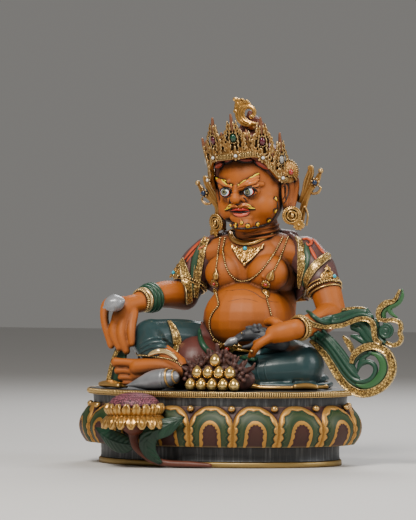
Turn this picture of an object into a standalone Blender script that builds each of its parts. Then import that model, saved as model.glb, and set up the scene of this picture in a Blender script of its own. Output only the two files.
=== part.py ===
"""Seated Jambhala on an oval lotus base: a painted and part-gilt copper statue.

Metres, +Z up. The origin is the middle of the base's underside and the figure looks along -Y.
The figure's own points are in two-hundredths of its sitting height, from the middle of its seat,
and the head's are in the same unit from the middle of the head. The heap's are in jewel radii and
the foot lotus's in twenty-ninths of its flower's radius.
"""

import math

import bmesh
import bpy
from mathutils import Euler, Matrix, Vector

MM = 0.001

# Lotus base: an oval, with the heights of its bands from the floor up
BASE_HEIGHT = 66 * MM
RIM_HALF_WIDTH = 123 * MM
RIM_HALF_DEPTH = 80 * MM
FOOT_RIM_HEIGHT = 5 * MM
PETAL_BOTTOM = 18.5 * MM
PETAL_TOP = 54 * MM
BEAD_RIM = 4.6 * MM
FOOT_SHARE = 0.918
BAND_SHARE = 0.9
BULGE_SHARE = 1.045
NECK_SHARE = 0.958
PETAL_COUNT = 17
PETAL_COLUMNS = 6
PETAL_RELIEF = 3.4 * MM
PETAL_OFFSET = -9.5 * MM

# Figure
SITTING_HEIGHT = 200 * MM
PART = SITTING_HEIGHT / 200
HEAD_CENTRE = (12, 42, 172)
HEAD_NOD = math.radians(8)
HEAD_TILT = math.radians(-5)
RIGHT_RIBBON_SHARE = 0.9

# Fits and casting detail
GAP = 0.35 * MM
FLOWER_RADIUS = 29 * MM
FLOWER_ACROSS = -36.5 * MM
FLOWER_REACH = 16 * MM
STEM_RADIUS = 3.2 * MM
CONCH_LENGTH = 54 * MM
CONCH_RADIUS = 9.2 * MM
JEWEL_RADIUS = 4.9 * MM

for old in list(bpy.data.objects):
    bpy.data.objects.remove(old)

STATUE = bpy.data.collections.new("jambhala_statue")
CUTTERS = bpy.data.collections.new("cutters")
for collection in (STATUE, CUTTERS):
    bpy.context.scene.collection.children.link(collection)


def material(name, colour, roughness, metallic):
    finish = bpy.data.materials.new(name)
    finish.use_nodes = True
    shader = finish.node_tree.nodes["Principled BSDF"]
    shader.inputs["Base Color"].default_value = (*colour, 1)
    shader.inputs["Roughness"].default_value = roughness
    shader.inputs["Metallic"].default_value = metallic
    finish.diffuse_color = (*colour, 1)
    return finish


def turned(nod, tilt=0.0, yaw=0.0):
    return Euler((nod, tilt, yaw)).to_matrix().to_4x4()


SEAT = Matrix.Scale(PART, 4)
ON_BASE = (0, 0, BASE_HEIGHT)
HEAD = SEAT @ Matrix.Translation(HEAD_CENTRE) @ turned(HEAD_NOD, HEAD_TILT)


def smooth_path(points, steps=4):
    """Points, or points with a radius, read from a smooth curve through the ones given."""
    points = [Vector(point) for point in points]
    if len(points) < 3:
        return points
    ends = [points[0] * 2 - points[1], *points, points[-1] * 2 - points[-2]]
    path = []
    for before, start, end, after in zip(ends, ends[1:], ends[2:], ends[3:]):
        for step in range(steps):
            t = step / steps
            bend = (end - before) * t + (before * 2 - start * 5 + end * 4 - after) * t**2
            path.append(start + (bend + (start * 3 - before - end * 3 + after) * t**3) / 2)
    return [*path, points[-1]]


class Clay:
    """The loose shapes of one casting, before they are melted into one skin."""

    def __init__(self):
        self.points = []
        self.faces = []

    def add(self, points, faces):
        first = len(self.points)
        self.points.extend(points)
        self.faces.extend([first + corner for corner in face] for face in faces)

    def mesh(self, name):
        mesh = bpy.data.meshes.new(name)
        mesh.from_pydata(self.points, [], self.faces)
        return mesh


def unit_ball():
    """The points and faces of a ball of radius 1."""
    shape = bmesh.new()
    bmesh.ops.create_uvsphere(shape, u_segments=20, v_segments=12, radius=1)
    points = [vertex.co.copy() for vertex in shape.verts]
    shape.verts.index_update()
    faces = [[vertex.index for vertex in face.verts] for face in shape.faces]
    shape.free()
    return points, faces


BALL_POINTS, BALL_FACES = unit_ball()


def ball(clay, place, centre, radii, nod=0.0, tilt=0.0, yaw=0.0):
    """A ball, or an egg with its own radii, in the frame given by place."""
    spin = turned(math.radians(nod), math.radians(tilt), math.radians(yaw))
    if isinstance(radii, (int, float)):
        radii = (radii, radii, radii)
    shape = place @ Matrix.Translation(centre) @ spin @ Matrix.Diagonal((*radii, 1))
    clay.add([shape @ point for point in BALL_POINTS], BALL_FACES)


def tube(clay, place, sections, sides=14):
    """A closed skin through oval sections, each a centre and two half axes."""
    turns = [2 * math.pi * side / sides for side in range(sides)]
    points = []
    for centre, across, through in sections:
        points += [place @ (centre + across * math.cos(turn) + through * math.sin(turn)) for turn in turns]
    faces = []
    for ring in range(0, len(points) - sides, sides):
        for side in range(sides):
            after = (side + 1) % sides
            faces.append((ring + side, ring + after, ring + sides + after, ring + sides + side))
    faces.append(range(sides - 1, -1, -1))
    faces.append(range(len(points) - sides, len(points)))
    clay.add(points, faces)


def limb(clay, place, *stations):
    """A round limb through stations of x, y, z and radius, with round ends."""
    path = smooth_path([Vector(station) for station in stations])
    sections = []
    across = Vector((0.31, 0.17, 0.93))
    for index, point in enumerate(path):
        ahead = (path[min(index + 1, len(path) - 1)] - path[max(index - 1, 0)]).to_3d()
        across = across - ahead * across.dot(ahead) / ahead.length_squared
        across = across.normalized()
        radius = point[3]
        through = ahead.normalized().cross(across)
        sections.append((point.to_3d(), across * radius, through * radius))
    tube(clay, place, sections)
    for end in (path[0], path[-1]):
        ball(clay, place, end.to_3d(), end[3])


def strap(clay, place, thickness, *stations):
    """A flat band through stations of x, y, z and the three parts of its half width."""
    path = smooth_path([Vector(station) for station in stations], steps=6)
    sections = []
    for index, point in enumerate(path):
        ahead = path[min(index + 1, len(path) - 1)] - path[max(index - 1, 0)]
        half_width = Vector(point[3:])
        normal = Vector(ahead[:3]).cross(half_width).normalized()
        sections.append((Vector(point[:3]), half_width, normal * thickness / 2))
    tube(clay, place, sections)


def piece(name, mesh, finish, location=(0, 0, 0), collection=STATUE):
    mesh.name = name
    thing = bpy.data.objects.new(name, mesh)
    thing.location = location
    collection.objects.link(thing)
    mesh.materials.clear()
    mesh.materials.append(finish)
    if collection is CUTTERS:
        thing.hide_render = True
        thing.display_type = "WIRE"
    return thing


def settled(thing):
    """The mesh of a piece with its modifiers applied; the piece itself is removed."""
    graph = bpy.context.evaluated_depsgraph_get()
    graph.update()
    mesh = bpy.data.meshes.new_from_object(thing.evaluated_get(graph))
    bpy.data.objects.remove(thing)
    return mesh


def cut(thing, cutter):
    knife = thing.modifiers.new(cutter.name, "BOOLEAN")
    knife.operation = "DIFFERENCE"
    knife.solver = "EXACT"
    knife.object = cutter


def cast(name, finish, clay, grain, triangles, cutters=(), soften=3, location=ON_BASE):
    """One casting: the clay shapes melted into one skin on a grid of the given grain, then thinned."""
    thing = piece(name, clay.mesh(name), finish, location)
    melt = thing.modifiers.new("melt", "REMESH")
    melt.mode = "VOXEL"
    melt.voxel_size = grain
    soft = thing.modifiers.new("soften", "SMOOTH")
    soft.factor = 0.5
    soft.iterations = soften
    thing = piece(name, settled(thing), finish, location)
    thin = thing.modifiers.new("thin", "DECIMATE")
    thin.ratio = triangles / (2 * len(thing.data.polygons))
    for cutter in cutters:
        cut(thing, cutter)
    thing = piece(name, largest_body(settled(thing)), finish, location)
    thing.data.shade_smooth()
    return thing


def largest_body(mesh):
    """The mesh without the loose crumbs that melting or cutting leaves beside the main body."""
    body = bmesh.new()
    body.from_mesh(mesh)
    unseen = set(body.verts)
    islands = []
    while unseen:
        island = {unseen.pop()}
        edge_of_island = list(island)
        while edge_of_island:
            vertex = edge_of_island.pop()
            near = {edge.other_vert(vertex) for edge in vertex.link_edges} & unseen
            unseen -= near
            island |= near
            edge_of_island.extend(near)
        islands.append(island)
    keep = max(islands, key=len)
    bmesh.ops.delete(body, geom=[v for v in body.verts if v not in keep], context="VERTS")
    body.to_mesh(mesh)
    body.free()
    return mesh


def clearance(name, thing):
    """A cutter that is the piece grown all round by the fitting gap."""
    grown = piece(name, thing.data.copy(), thing.data.materials[0], thing.location, CUTTERS)
    swell = grown.modifiers.new("gap", "DISPLACE")
    swell.strength = GAP
    swell.mid_level = 0
    return piece(name, settled(grown), thing.data.materials[0], thing.location, CUTTERS)


# Lotus base

def oval_point(angle, share, height):
    across = RIM_HALF_WIDTH * share * math.cos(angle)
    return Vector((across, RIM_HALF_DEPTH * share * math.sin(angle), height))


def petal_angles():
    """Angles of the base's columns, even along the rim, with a petal's middle at the offset."""
    steps = 2880
    angles = [-math.pi / 2 + 2 * math.pi * step / steps for step in range(steps + 1)]
    length = [0.0]
    for start, end in zip(angles, angles[1:]):
        length.append(length[-1] + (oval_point(end, 1, 0) - oval_point(start, 1, 0)).length)
    columns = PETAL_COUNT * PETAL_COLUMNS
    found = []
    for column in range(columns):
        reach = (length[-1] * column / columns + PETAL_OFFSET) % length[-1]
        step = next(i for i, so_far in enumerate(length) if so_far >= reach)
        found.append(angles[step])
    return found


def petal_relief(column, rise):
    """How far a petal stands out: an arch with a groove inside its edge and a bud at each side."""
    across = 2 * ((column + PETAL_COLUMNS / 2) % PETAL_COLUMNS) / PETAL_COLUMNS - 1
    arch = 1 if rise < 0.45 else math.sqrt(max(0.0, 1 - ((rise - 0.45) / 0.57) ** 2))
    inside = 1 - (abs(across) / max(arch, 0.05)) ** 2
    bud = 0.75 if rise > 0.82 and abs(across) > 0.9 else 0
    return PETAL_RELIEF * max(math.sqrt(max(inside, 0.0)), bud)


def base_mesh(carved=True, spread=0.0):
    """The base's skin; uncarved and spread it is the room that the base takes up."""
    petal = PETAL_TOP - PETAL_BOTTOM
    rim = BASE_HEIGHT - BEAD_RIM
    levels = [
        (0, FOOT_SHARE, None),
        (FOOT_RIM_HEIGHT, FOOT_SHARE, None),
        (FOOT_RIM_HEIGHT, BAND_SHARE, None),
        (PETAL_BOTTOM, BAND_SHARE, None),
    ]
    for rise in (0.0, 0.25, 0.55, 0.8, 1.0):
        swell = math.sin(math.pi * (0.16 + 0.74 * rise) ** 0.9)
        share = BAND_SHARE + 0.02 + (BULGE_SHARE - BAND_SHARE - 0.02) * swell
        levels.append((PETAL_BOTTOM + petal * rise, share, rise))
    levels += [
        (PETAL_TOP + 1 * MM, NECK_SHARE, None),
        (rim, NECK_SHARE, None),
        (rim + BEAD_RIM * 0.3, 1.0, None),
        (rim + BEAD_RIM * 0.75, 1.0, None),
        (BASE_HEIGHT, 0.975, None),
    ]
    body = bmesh.new()
    rings = []
    for height, share, rise in levels:
        ring = []
        for column, angle in enumerate(petal_angles()):
            point = oval_point(angle, share, height)
            relief = 0 if rise is None else petal_relief(column, rise) if carved else PETAL_RELIEF
            out = Vector((math.cos(angle) / RIM_HALF_WIDTH, math.sin(angle) / RIM_HALF_DEPTH, 0))
            point += out.normalized() * (relief + spread)
            ring.append(body.verts.new(point))
        rings.append(ring)
    count = len(rings[0])
    for ring, following in zip(rings, rings[1:]):
        for column in range(count):
            after = (column + 1) % count
            body.faces.new((ring[column], ring[after], following[after], following[column]))
    body.faces.new(reversed(rings[0]))
    body.faces.new(rings[-1])
    mesh = bpy.data.meshes.new("lotus_base")
    body.to_mesh(mesh)
    body.free()
    mesh.shade_smooth()
    mesh.set_sharp_from_angle(angle=math.radians(40))
    return mesh


# Figure

def torso(clay):
    ball(clay, SEAT, (12, 46, 24), (47, 36, 27))
    ball(clay, SEAT, (12, 38, 60), (41, 44, 35))
    ball(clay, SEAT, (12, 52, 74), (37, 29, 34))
    ball(clay, SEAT, (12, 49, 104), (41, 26, 33))
    for side in (-1, 1):
        ball(clay, SEAT, (12 + side * 20, 32, 101), (20, 15, 17))
    limb(clay, SEAT, (-34, 51, 117, 15), (12, 54, 122, 18), (58, 51, 117, 15))
    limb(clay, SEAT, (12, 53, 118, 19), (12, 48, 142, 17.5), (12, 45, 156, 17))
    limb(clay, SEAT, (-22, 16, 92, 1.5), (12, 5, 85, 1.5), (46, 16, 92, 1.5))


def band_point(degrees, inset=0.0, lift=0.0):
    """A point of the crown's band, which arches over the forehead and drops towards the ears."""
    turn = math.radians(degrees)
    rise = min(max((78 - abs(degrees)) / 48, 0), 1)
    height = 9 + 28 * rise * rise * (3 - 2 * rise)
    reach = 34.5 + 1.5 * rise - inset
    return Vector((reach * math.sin(turn), 4 - reach * math.cos(turn), height + lift))


def head(clay):
    ball(clay, HEAD, (0, 4, 13), (30.5, 32, 35))
    ball(clay, HEAD, (0, -2, -8), (28, 27.5, 25))
    ball(clay, HEAD, (0, 1, 2), (29.4, 28.6, 28))
    ball(clay, HEAD, (0, -17, -24), (13, 10, 9))
    limb(clay, HEAD, (0, -26, 9, 4), (0, -29, -5, 5))
    ball(clay, HEAD, (0, -31, -7), (5.5, 5, 4.5))
    limb(clay, HEAD, (-8, -24, -20.5, 2.6), (0, -27, -20.5, 3.4), (8, -24, -20.5, 2.6))
    limb(clay, HEAD, (-10, -24, -15.5, 1.6), (0, -27.5, -14.5, 2.6), (10, -24, -15.5, 1.6))
    for side in (-1, 1):
        ball(clay, HEAD, (side * 15, -12, -10), (13, 13, 13))
        ball(clay, HEAD, (side * 5.5, -28, -8), (3.8, 4, 3.2))
        ball(clay, HEAD, (side * 12.5, -23.5, 4), (7, 5, 4.8))
        limb(clay, HEAD, (side * 4, -27, 11, 2.2), (side * 13, -25.5, 17, 3), (side * 22, -19, 25, 1.8))
        ball(clay, HEAD, (side * 30.5, 6, 2), (4, 8, 13), tilt=side * 8)
        ball(clay, HEAD, (side * 32, 3, -15), (3.4, 5, 9))
    limb(clay, HEAD, *[(*band_point(turn, 5.5, 0), 4.6) for turn in range(-180, 181, 20)])
    ball(clay, HEAD, (0, 12, 4), (28, 25, 32))
    ball(clay, HEAD, (2, 13, 38), (17, 17, 22))
    ball(clay, HEAD, (2, 16, 58), (10, 10, 13))


def finger(clay, *stations):
    limb(clay, SEAT, *stations)


def arms(clay):
    limb(clay, SEAT, (60, 51, 116, 14), (80, 43, 94, 14), (92, 36, 68, 12.5))
    limb(clay, SEAT, (92, 36, 66, 12.5), (91, 8, 58, 11.5), (84, -22, 54, 8.5))
    limb(clay, SEAT, (84, -20, 54, 9), (74, -27, 51, 9), (66, -29, 49, 8))
    finger(clay, (72, -24, 55, 4.5), (62, -22, 60, 4.2), (54, -16, 59, 3.8))
    finger(clay, (66, -33, 48, 4.2), (55, -38, 40, 3.6), (47, -36, 30, 3))
    finger(clay, (64, -26, 46, 4.2), (52, -26, 42, 3.8), (42, -18, 40, 3.2))
    limb(clay, SEAT, (-36, 51, 116, 14), (-48, 46, 96, 14), (-52, 38, 80, 12.5))
    limb(clay, SEAT, (-52, 38, 80, 12.5), (-60, 12, 82, 12), (-69, -17, 77, 8.5))
    limb(clay, SEAT, (-69, -17, 75, 8.5), (-76, -30, 72, 8.5), (-80, -35, 62, 8))
    finger(clay, (-80, -26, 76, 5), (-93, -34, 75, 4.4), (-94, -38, 60, 3.8), (-87, -39, 38, 3.4))
    finger(clay, (-82, -36, 64, 5), (-84, -40, 50, 4.3), (-78, -41, 36, 3.4))
    finger(clay, (-76, -36, 64, 5), (-76, -41, 48, 4.3), (-71, -41, 33, 3.4))
    finger(clay, (-70, -30, 66, 5), (-68, -38, 52, 4.2), (-66, -40, 40, 3.4))


def legs(clay):
    limb(clay, SEAT, (28, 46, 24, 24), (56, 24, 22, 22), (78, 4, 20, 19.5))
    limb(clay, SEAT, (78, 2, 18, 18.5), (50, -14, 16, 16), (18, -22, 13, 11))
    limb(clay, SEAT, (-6, 46, 26, 24), (-36, 12, 40, 20), (-58, -18, 44, 17))
    limb(clay, SEAT, (-58, -20, 42, 17), (-49, -34, 35, 14), (-36, -43, 30, 9))
    ball(clay, SEAT, (-22, 0, 22), (24, 26, 24))
    ball(clay, SEAT, (14, 34, 8), (74, 48, 13))
    ball(clay, SEAT, (10, -6, 6), (60, 28, 10))
    limb(clay, SEAT, (-12, -48, 17, 7), (-34, -48, 20, 7.5), (-56, -48, 19, 7.5))
    limb(clay, SEAT, (-34, -46, 14, 6), (-58, -46, 12, 7))
    for reach, height, radius in ((-77, 23, 4.3), (-75, 15.5, 3.4), (-72, 9.5, 3), (-68, 5, 2.6)):
        limb(clay, SEAT, (-58, -49, height - 1, radius), (reach, -50, height, radius))


def robe_folds(clay):
    for rise in (0, 6, 12):
        limb(clay, SEAT, (-62, -33, 26 + rise, 2), (-48, -44 + rise, 38 + rise, 2.2), (-32, -42, 30 + rise, 2))
    limb(clay, SEAT, (52, -27, 4, 2.5), (82, -16, 4, 2.5), (98, 6, 4, 2.5), (92, 34, 4, 2.5))
    limb(clay, SEAT, (34, -28, 30, 2), (50, -24, 26, 2), (60, -22, 16, 1.6))
    strap(
        clay, SEAT, 7,
        (-80, -30, 40, 8, -3, 0), (-84, -32, 22, 12, -5, 0), (-86, -34, 3, 15, -6, 0),
    )
    limb(clay, SEAT, (-100, -34, 3, 2.6), (-86, -40, 3, 3.4), (-70, -44, 3, 2.6))
    strap(
        clay, SEAT, 5,
        (-30, 6, 56, 5, 0, -2), (-34, -16, 54, 5, 0, -2), (-36, -30, 44, 5, 0, -1), (-34, -38, 34, 4, 0, 0),
    )
    for edge, height in ((-1, 4), (1, 3)):
        limb(clay, SEAT, (12 + edge * 66, 44, height, 4), (12 + edge * 50, 76, height, 4), (12, 84, height, 4))


def cape(clay):
    limb(clay, SEAT, (58, 53, 117, 17), (71, 49, 106, 16.5), (79, 44, 94, 14.5))
    limb(clay, SEAT, (-34, 53, 117, 17), (-44, 50, 107, 17), (-50, 46, 95, 15))
    for side in (-1, 1):
        strap(
            clay, SEAT, 6,
            (12 + side * 26, 50, 142, side * 4, -4, 0),
            (12 + side * 42, 38, 128, side * 6, -4, 0),
            (12 + side * 47, 33, 104, side * 5, -4, 0),
            (12 + side * 47, 35, 78, side * 5, -4, 0),
        )
    ball(clay, SEAT, (12, 62, 108), (44, 21, 32))
    strap(clay, SEAT, 8, (-38, 66, 106, 0, 12, 20), (12, 82, 92, 0, 10, 34), (62, 66, 106, 0, 12, 20))


def jewellery(clay):
    limb(clay, SEAT, (-8, 34, 138, 2), (2, 21, 129, 2), (12, 18, 126, 2), (22, 21, 129, 2), (34, 36, 138, 2))
    strap(clay, SEAT, 5, (12, 20, 126, 12, 0, 0), (12, 17, 116, 7, 0, 0), (12, 17, 104, 1.5, 0, 0))
    limb(clay, SEAT, (-26, 20, 42, 3), (-6, -3, 38, 3.4), (12, -6, 38, 5), (30, -3, 38, 3.4), (46, 12, 42, 3))


def figure():
    clay = Clay()
    for part in (torso, head, arms, legs, robe_folds, cape, jewellery):
        part(clay)
    return cast("figure", SKIN, clay, 1.6 * PART, 2550, [SEAT_LEVEL], soften=4)


# Gilt pieces of the head

def crown(cutters):
    clay = Clay()
    for lift, radius in ((-0.4, 2.1), (3.2, 2.2)):
        limb(clay, HEAD, *[(*band_point(turn, lift=lift), radius) for turn in range(-180, 181, 15)])
    for angle, height, lean in ((7, 36, 2), (45, 36, 2), (73, 40, 2), (-28, 35, 12), (-62, 37, 7)):
        crown_leaf(clay, angle, height, 11, lean)
    for angle in (-9, 26, 59, -45):
        crown_leaf(clay, angle, 20, 7)
    for side in (-1, 1):
        ball(clay, HEAD, (side * 36, 4, 15), (3.2, 11, 11), yaw=-side * 30)
    return cast("crown", GOLD, clay, 0.9 * PART, 700, cutters, soften=2)


def crown_leaf(clay, angle, height, width, lean=0):
    """A pointed leaf that stands on the band at this angle, leans out a little, and lean degrees aside."""
    foot = Matrix.Translation(band_point(angle, lift=2))
    place = HEAD @ foot @ turned(math.radians(6), math.radians(lean), math.radians(angle))
    ball(clay, place, (0, 0, height * 0.32), (width * 0.82, 2.4, height * 0.34))
    limb(clay, place, (0, 0, height * 0.5, 3.2), (0, 0, height * 0.8, 2.2), (0, 0, height, 1.3))
    for side in (-1, 1):
        limb(clay, place, (0, 0, 2, 2), (side * width * 0.8, 0, height * 0.3, 2), (side * width * 0.55, 0, height * 0.6, 1.4))


def hair_finial(cutters):
    """A spiral scroll that opens to the figure's left, with a curl above it."""
    clay = Clay()
    spiral = []
    for turn in range(15):
        angle = math.radians(-60 - turn * 30)
        reach = 11.5 - turn * 0.55
        spiral.append((reach * math.cos(angle), 0, reach * math.sin(angle), 3.4 - turn * 0.08))
    place = HEAD @ Matrix.Translation((9, -2, 71.5)) @ turned(math.radians(-8), math.radians(5))
    limb(clay, place, *spiral)
    limb(clay, place, (-9, 0, 4, 3), (-11, 0, 10, 2.6), (-8, 0, 14, 2))
    limb(clay, place, (0, 0, 10, 2.4), (-4, 0, 13, 2.2), (-8, 0, 12, 2))
    limb(clay, place, (1, 0, -10.5, 3.4), (0, 6, -12, 4), (-4, 14, -13, 4))
    return cast("hair_finial", GOLD, clay, 0.9 * PART, 260, cutters, soften=2)


def ear_ribbon(name, side, cutters):
    clay = Clay()
    out = side if side > 0 else side * RIGHT_RIBBON_SHARE
    limb(clay, HEAD, (side * 36, 14, 4, 3), (side * 42, 14, -14, 3), (out * 49, 13, -4, 3.2), (out * 54, 13, 15, 2.4))
    limb(clay, HEAD, (side * 40, 13, -34, 2.6), (side * 44, 13, -22, 2.6), (out * 49, 13, -10, 3.4))
    limb(clay, HEAD, (out * 49, 13, -9, 3), (out * 57.5, 13, 2, 4), (out * 63, 13, 11, 2.2))
    ball(clay, HEAD, (out * 63.5, 13, 12.5), 3)
    limb(clay, HEAD, (out * 52, 13, -7, 2.4), (out * 58, 13, -6, 2), (out * 61, 13, -2, 1.8))
    return cast(name, GOLD, clay, 0.9 * PART, 200, cutters, soften=2)


def earring(name, side, cutters):
    clay = Clay()
    ball(clay, HEAD, (side * 37, -2, -21), (7.5, 3, 7), yaw=side * 20)
    ball(clay, HEAD, (side * 43, 0, -30), (5, 3.5, 5), yaw=side * 20)
    return cast(name, GOLD, clay, 0.8 * PART, 110, cutters, soften=2)


# What the figure holds and rests on

def scarf(cutters):
    clay = Clay()
    strap(
        clay, SEAT, 4,
        (84, -20, 68, 0, 6, 2), (96, -10, 62, 1, 5, 4), (106, 6, 56, 2, 4, 6),
        (120, 12, 54, 0, 2, 7), (134, 12, 56, 0, 0, 7), (146, 12, 62, -2, 0, 6), (152, 12, 70, -6, 0, 2),
    )
    strap(
        clay, SEAT, 4,
        (90, -14, 44, 6, -2, 5), (102, -4, 37, 8, 0, 5), (114, 4, 25, 9, 0, 5), (126, 6, 12, 8, 0, 7),
        (140, 8, 7, 0, 0, 9.5), (154, 10, 12, -7, 0, 6), (159, 10, 23, -9, 0, 1), (155, 10, 35, -7, 0, -6),
        (144, 10, 40, 0, 0, -8), (134, 10, 34, 6, 0, -4), (134, 10, 25, 5, 0, 3), (141, 10, 21, 1, 0, 4),
    )
    strap(
        clay, SEAT, 4,
        (104, 14, 62, 0, 3, 6), (124, 18, 66, 0, 3, 6), (142, 16, 58, 4, 0, 6), (152, 13, 46, 8, 0, 0),
        (150, 12, 58, 7, 0, -2), (154, 12, 72, 6, 0, 3), (164, 12, 79, 3, 0, 6), (171, 12, 90, 4, 0, 3),
    )
    ball(clay, SEAT, (161, 11, 52), (12, 3, 12))
    strap(clay, SEAT, 4, (146, 12, 60, 0, 0, 5), (152, 12, 60, 0, 0, 5), (160, 12, 56, 0, 0, 5))
    return cast("scarf", GREEN, clay, 1.1 * PART, 620, cutters, soften=3)


def mongoose(cutters):
    clay = Clay()
    limb(clay, SEAT, (60, -10, 42, 8), (48, -10, 46, 8), (40, -12, 48, 7.5), (32, -16, 47, 5), (25, -19, 44, 3))
    for side in (-1, 1):
        ball(clay, SEAT, (40, -12 + side * 4, 55), (2.4, 2, 3))
    return cast("mongoose", DARK_GREY, clay, 0.9 * PART, 220, cutters, soften=2)


def fruit(cutters):
    clay = Clay()
    ball(clay, SEAT, (-79, -49, 75), (9.5, 8.5, 7.5), tilt=-10)
    ball(clay, SEAT, (-86, -49, 72), (3, 3, 3))
    return cast("fruit", SILVER, clay, 0.9 * PART, 160, cutters, soften=2)


def conch(cutters):
    """A turned shell on its side: a long point, a swollen body and three whorls at the crown."""
    outline = [(0.0, 0.0), (0.1, 0.2), (0.25, 0.52), (0.42, 0.86), (0.58, 1.0), (0.72, 0.97), (0.84, 0.8)]
    outline += [(0.845, 0.7), (0.92, 0.62), (0.925, 0.5), (0.98, 0.3), (1.0, 0.0)]
    mesh = bpy.data.meshes.new("conch")
    shell = bmesh.new()
    profile = [shell.verts.new((CONCH_RADIUS * r, 0, -CONCH_LENGTH * run)) for run, r in outline]
    for upper, lower in zip(profile, profile[1:]):
        shell.edges.new((upper, lower))
    shell.to_mesh(mesh)
    shell.free()
    thing = piece("conch", mesh, SILVER)
    lathe = thing.modifiers.new("lathe", "SCREW")
    lathe.steps = lathe.render_steps = 16
    lathe.use_merge_vertices = True
    lathe.merge_threshold = 0.00005
    lathe.use_smooth_shade = True
    mesh = settled(thing)
    tip = SEAT @ Vector((-62, -61, 3.5))
    mesh.transform(Matrix.Translation(tip) @ turned(0, math.radians(-100), math.radians(-3)))
    thing = piece("conch", mesh, SILVER, ON_BASE)
    for cutter in cutters:
        cut(thing, cutter)
    return piece("conch", largest_body(settled(thing)), SILVER, ON_BASE)


def jewel_heap(cutters):
    """Ten drop-shaped jewels in three rows, with coral branches behind and beside them."""
    clay = Clay()
    place = SEAT @ Matrix.Translation((22, -62, 0)) @ Matrix.Scale(JEWEL_RADIUS / PART, 4)
    for row, (count, height) in enumerate(((5, 1.02), (4, 3.16), (1, 5.3))):
        for index in range(count):
            across = (index - (count - 1) / 2) * 2.12
            ball(clay, place, (across, row * 0.6, height), 1)
            back = row * 0.6
            limb(clay, place, (across, back, height, 0.97), (across, back, height + 0.9, 0.5), (across, back, height + 1.5, 0.14))
    ball(clay, place, (0, 3.2, 2.4), (7.3, 2.2, 3.1))
    ball(clay, place, (0.2, 3.2, 5.3), (3.5, 1.6, 2.4))
    for branch in range(9):
        spread = -1 + branch / 4
        rise = 4.1 + 4.1 * (1 - abs(spread))
        limb(clay, place, (spread * 4.9, 2.9, 2.9, 0.6), (spread * 7.1, 2.0, rise, 0.37))
    return cast("jewel_heap", GOLD, clay, JEWEL_RADIUS / 4.9, 560, cutters, soften=1)


def foot_lotus(cutters):
    """A lotus flower on a stem that rises from the floor in front of the base, with two leaves."""
    clay = Clay()
    radius = 29
    unit = FLOWER_RADIUS / radius
    centre = (FLOWER_ACROSS, -RIM_HALF_DEPTH - FLOWER_REACH, 0)
    place = Matrix.Translation(centre) @ Matrix.Scale(unit, 4)
    ball(clay, place, (0, 0, 54), (radius * 0.77, radius * 0.77, 11.5))
    ball(clay, place, (0, 0, 44), (radius * 0.8, radius * 0.8, 9))
    petals = 20
    for petal in range(petals):
        turn = 2 * math.pi * petal / petals
        out = Vector((math.cos(turn), math.sin(turn), 0))
        for inner, outer, low, high in ((0.66, 0.84, 47, 55), (0.7, 1.0, 44, 38)):
            start, end = out * radius * inner, out * radius * outer * 0.92
            limb(clay, place, (start.x, start.y, low, 3), (end.x, end.y, high, 2.6))
    stem = STEM_RADIUS / unit
    limb(clay, place, (-2, 4, 40, 7), (-3, 3, 30, 5), (2, 2, 18, stem), (14, 4, 8, stem))
    limb(clay, place, (14, 4, 8, stem), (28, 8, stem + 0.6, stem), (46, 14, stem, stem), (64, 17, stem, stem * 0.8))
    strap(
        clay, place, 4,
        (-2, 6, 22, 0, 0, 3), (-16, 8, 22, 0, 2, 8), (-32, 13, 24, 0, 3, 9), (-50, 22, 28, 0, 1, 2),
    )
    strap(
        clay, place, 4,
        (26, 8, 7, 3, 0, 3), (16, 4, 14, 6, -1, 3), (16, 0, 26, 8, -2, -3), (28, 2, 33, 4, -2, -7),
        (43, 6, 38, 1, 0, -2),
    )
    return cast("foot_lotus", GOLD, clay, 1.1 * unit, 580, cutters, soften=2, location=(0, 0, 0))


def slab(name, low, high, reach):
    """A block cutter between two heights that reaches past the statue on every side."""
    block = bmesh.new()
    size = Matrix.Diagonal((2 * reach, 2 * reach, high - low, 1))
    bmesh.ops.create_cube(block, size=1, matrix=Matrix.Translation((0, 0, (low + high) / 2)) @ size)
    mesh = bpy.data.meshes.new(name)
    block.to_mesh(mesh)
    block.free()
    return piece(name, mesh, GRAPHITE, collection=CUTTERS)


GRAPHITE = material("graphite paint", (0.04, 0.042, 0.045), 0.5, 0.3)
SKIN = material("ochre paint", (0.55, 0.2, 0.03), 0.45, 0.0)
GOLD = material("gilding", (0.72, 0.5, 0.2), 0.35, 1.0)
GREEN = material("green paint", (0.03, 0.12, 0.07), 0.5, 0.0)
DARK_GREY = material("dark grey paint", (0.04, 0.045, 0.05), 0.5, 0.0)
SILVER = material("silver paint", (0.5, 0.52, 0.53), 0.35, 0.6)

REACH = 2 * RIM_HALF_WIDTH
SEAT_LEVEL = slab("seat_level", BASE_HEIGHT - REACH, BASE_HEIGHT + GAP, REACH)
FLOOR_LEVEL = slab("floor_level", -REACH, 0, REACH)

piece("lotus_base", base_mesh(), GRAPHITE)
base_gap = piece("base_gap", base_mesh(carved=False, spread=GAP), GRAPHITE, collection=CUTTERS)
statue = figure()
figure_gap = clearance("figure_gap", statue)
crown_gap = clearance("crown_gap", crown([figure_gap]))
hair_finial([figure_gap, crown_gap])
for side_name, sign in (("left", 1), ("right", -1)):
    hanger = earring("earring_" + side_name, sign, [figure_gap, crown_gap])
    hanger_gap = clearance("earring_gap_" + side_name, hanger)
    ear_ribbon("ear_ribbon_" + side_name, sign, [figure_gap, crown_gap, hanger_gap])
beast_gap = clearance("mongoose_gap", mongoose([figure_gap]))
scarf([figure_gap, base_gap, beast_gap])
fruit([figure_gap])
conch_gap = clearance("conch_gap", conch([SEAT_LEVEL, figure_gap]))
jewel_heap([SEAT_LEVEL, figure_gap, conch_gap, beast_gap])
foot_lotus([FLOOR_LEVEL, base_gap])
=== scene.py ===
from math import atan2, cos, exp, hypot, pi, radians, sin, sqrt

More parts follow.
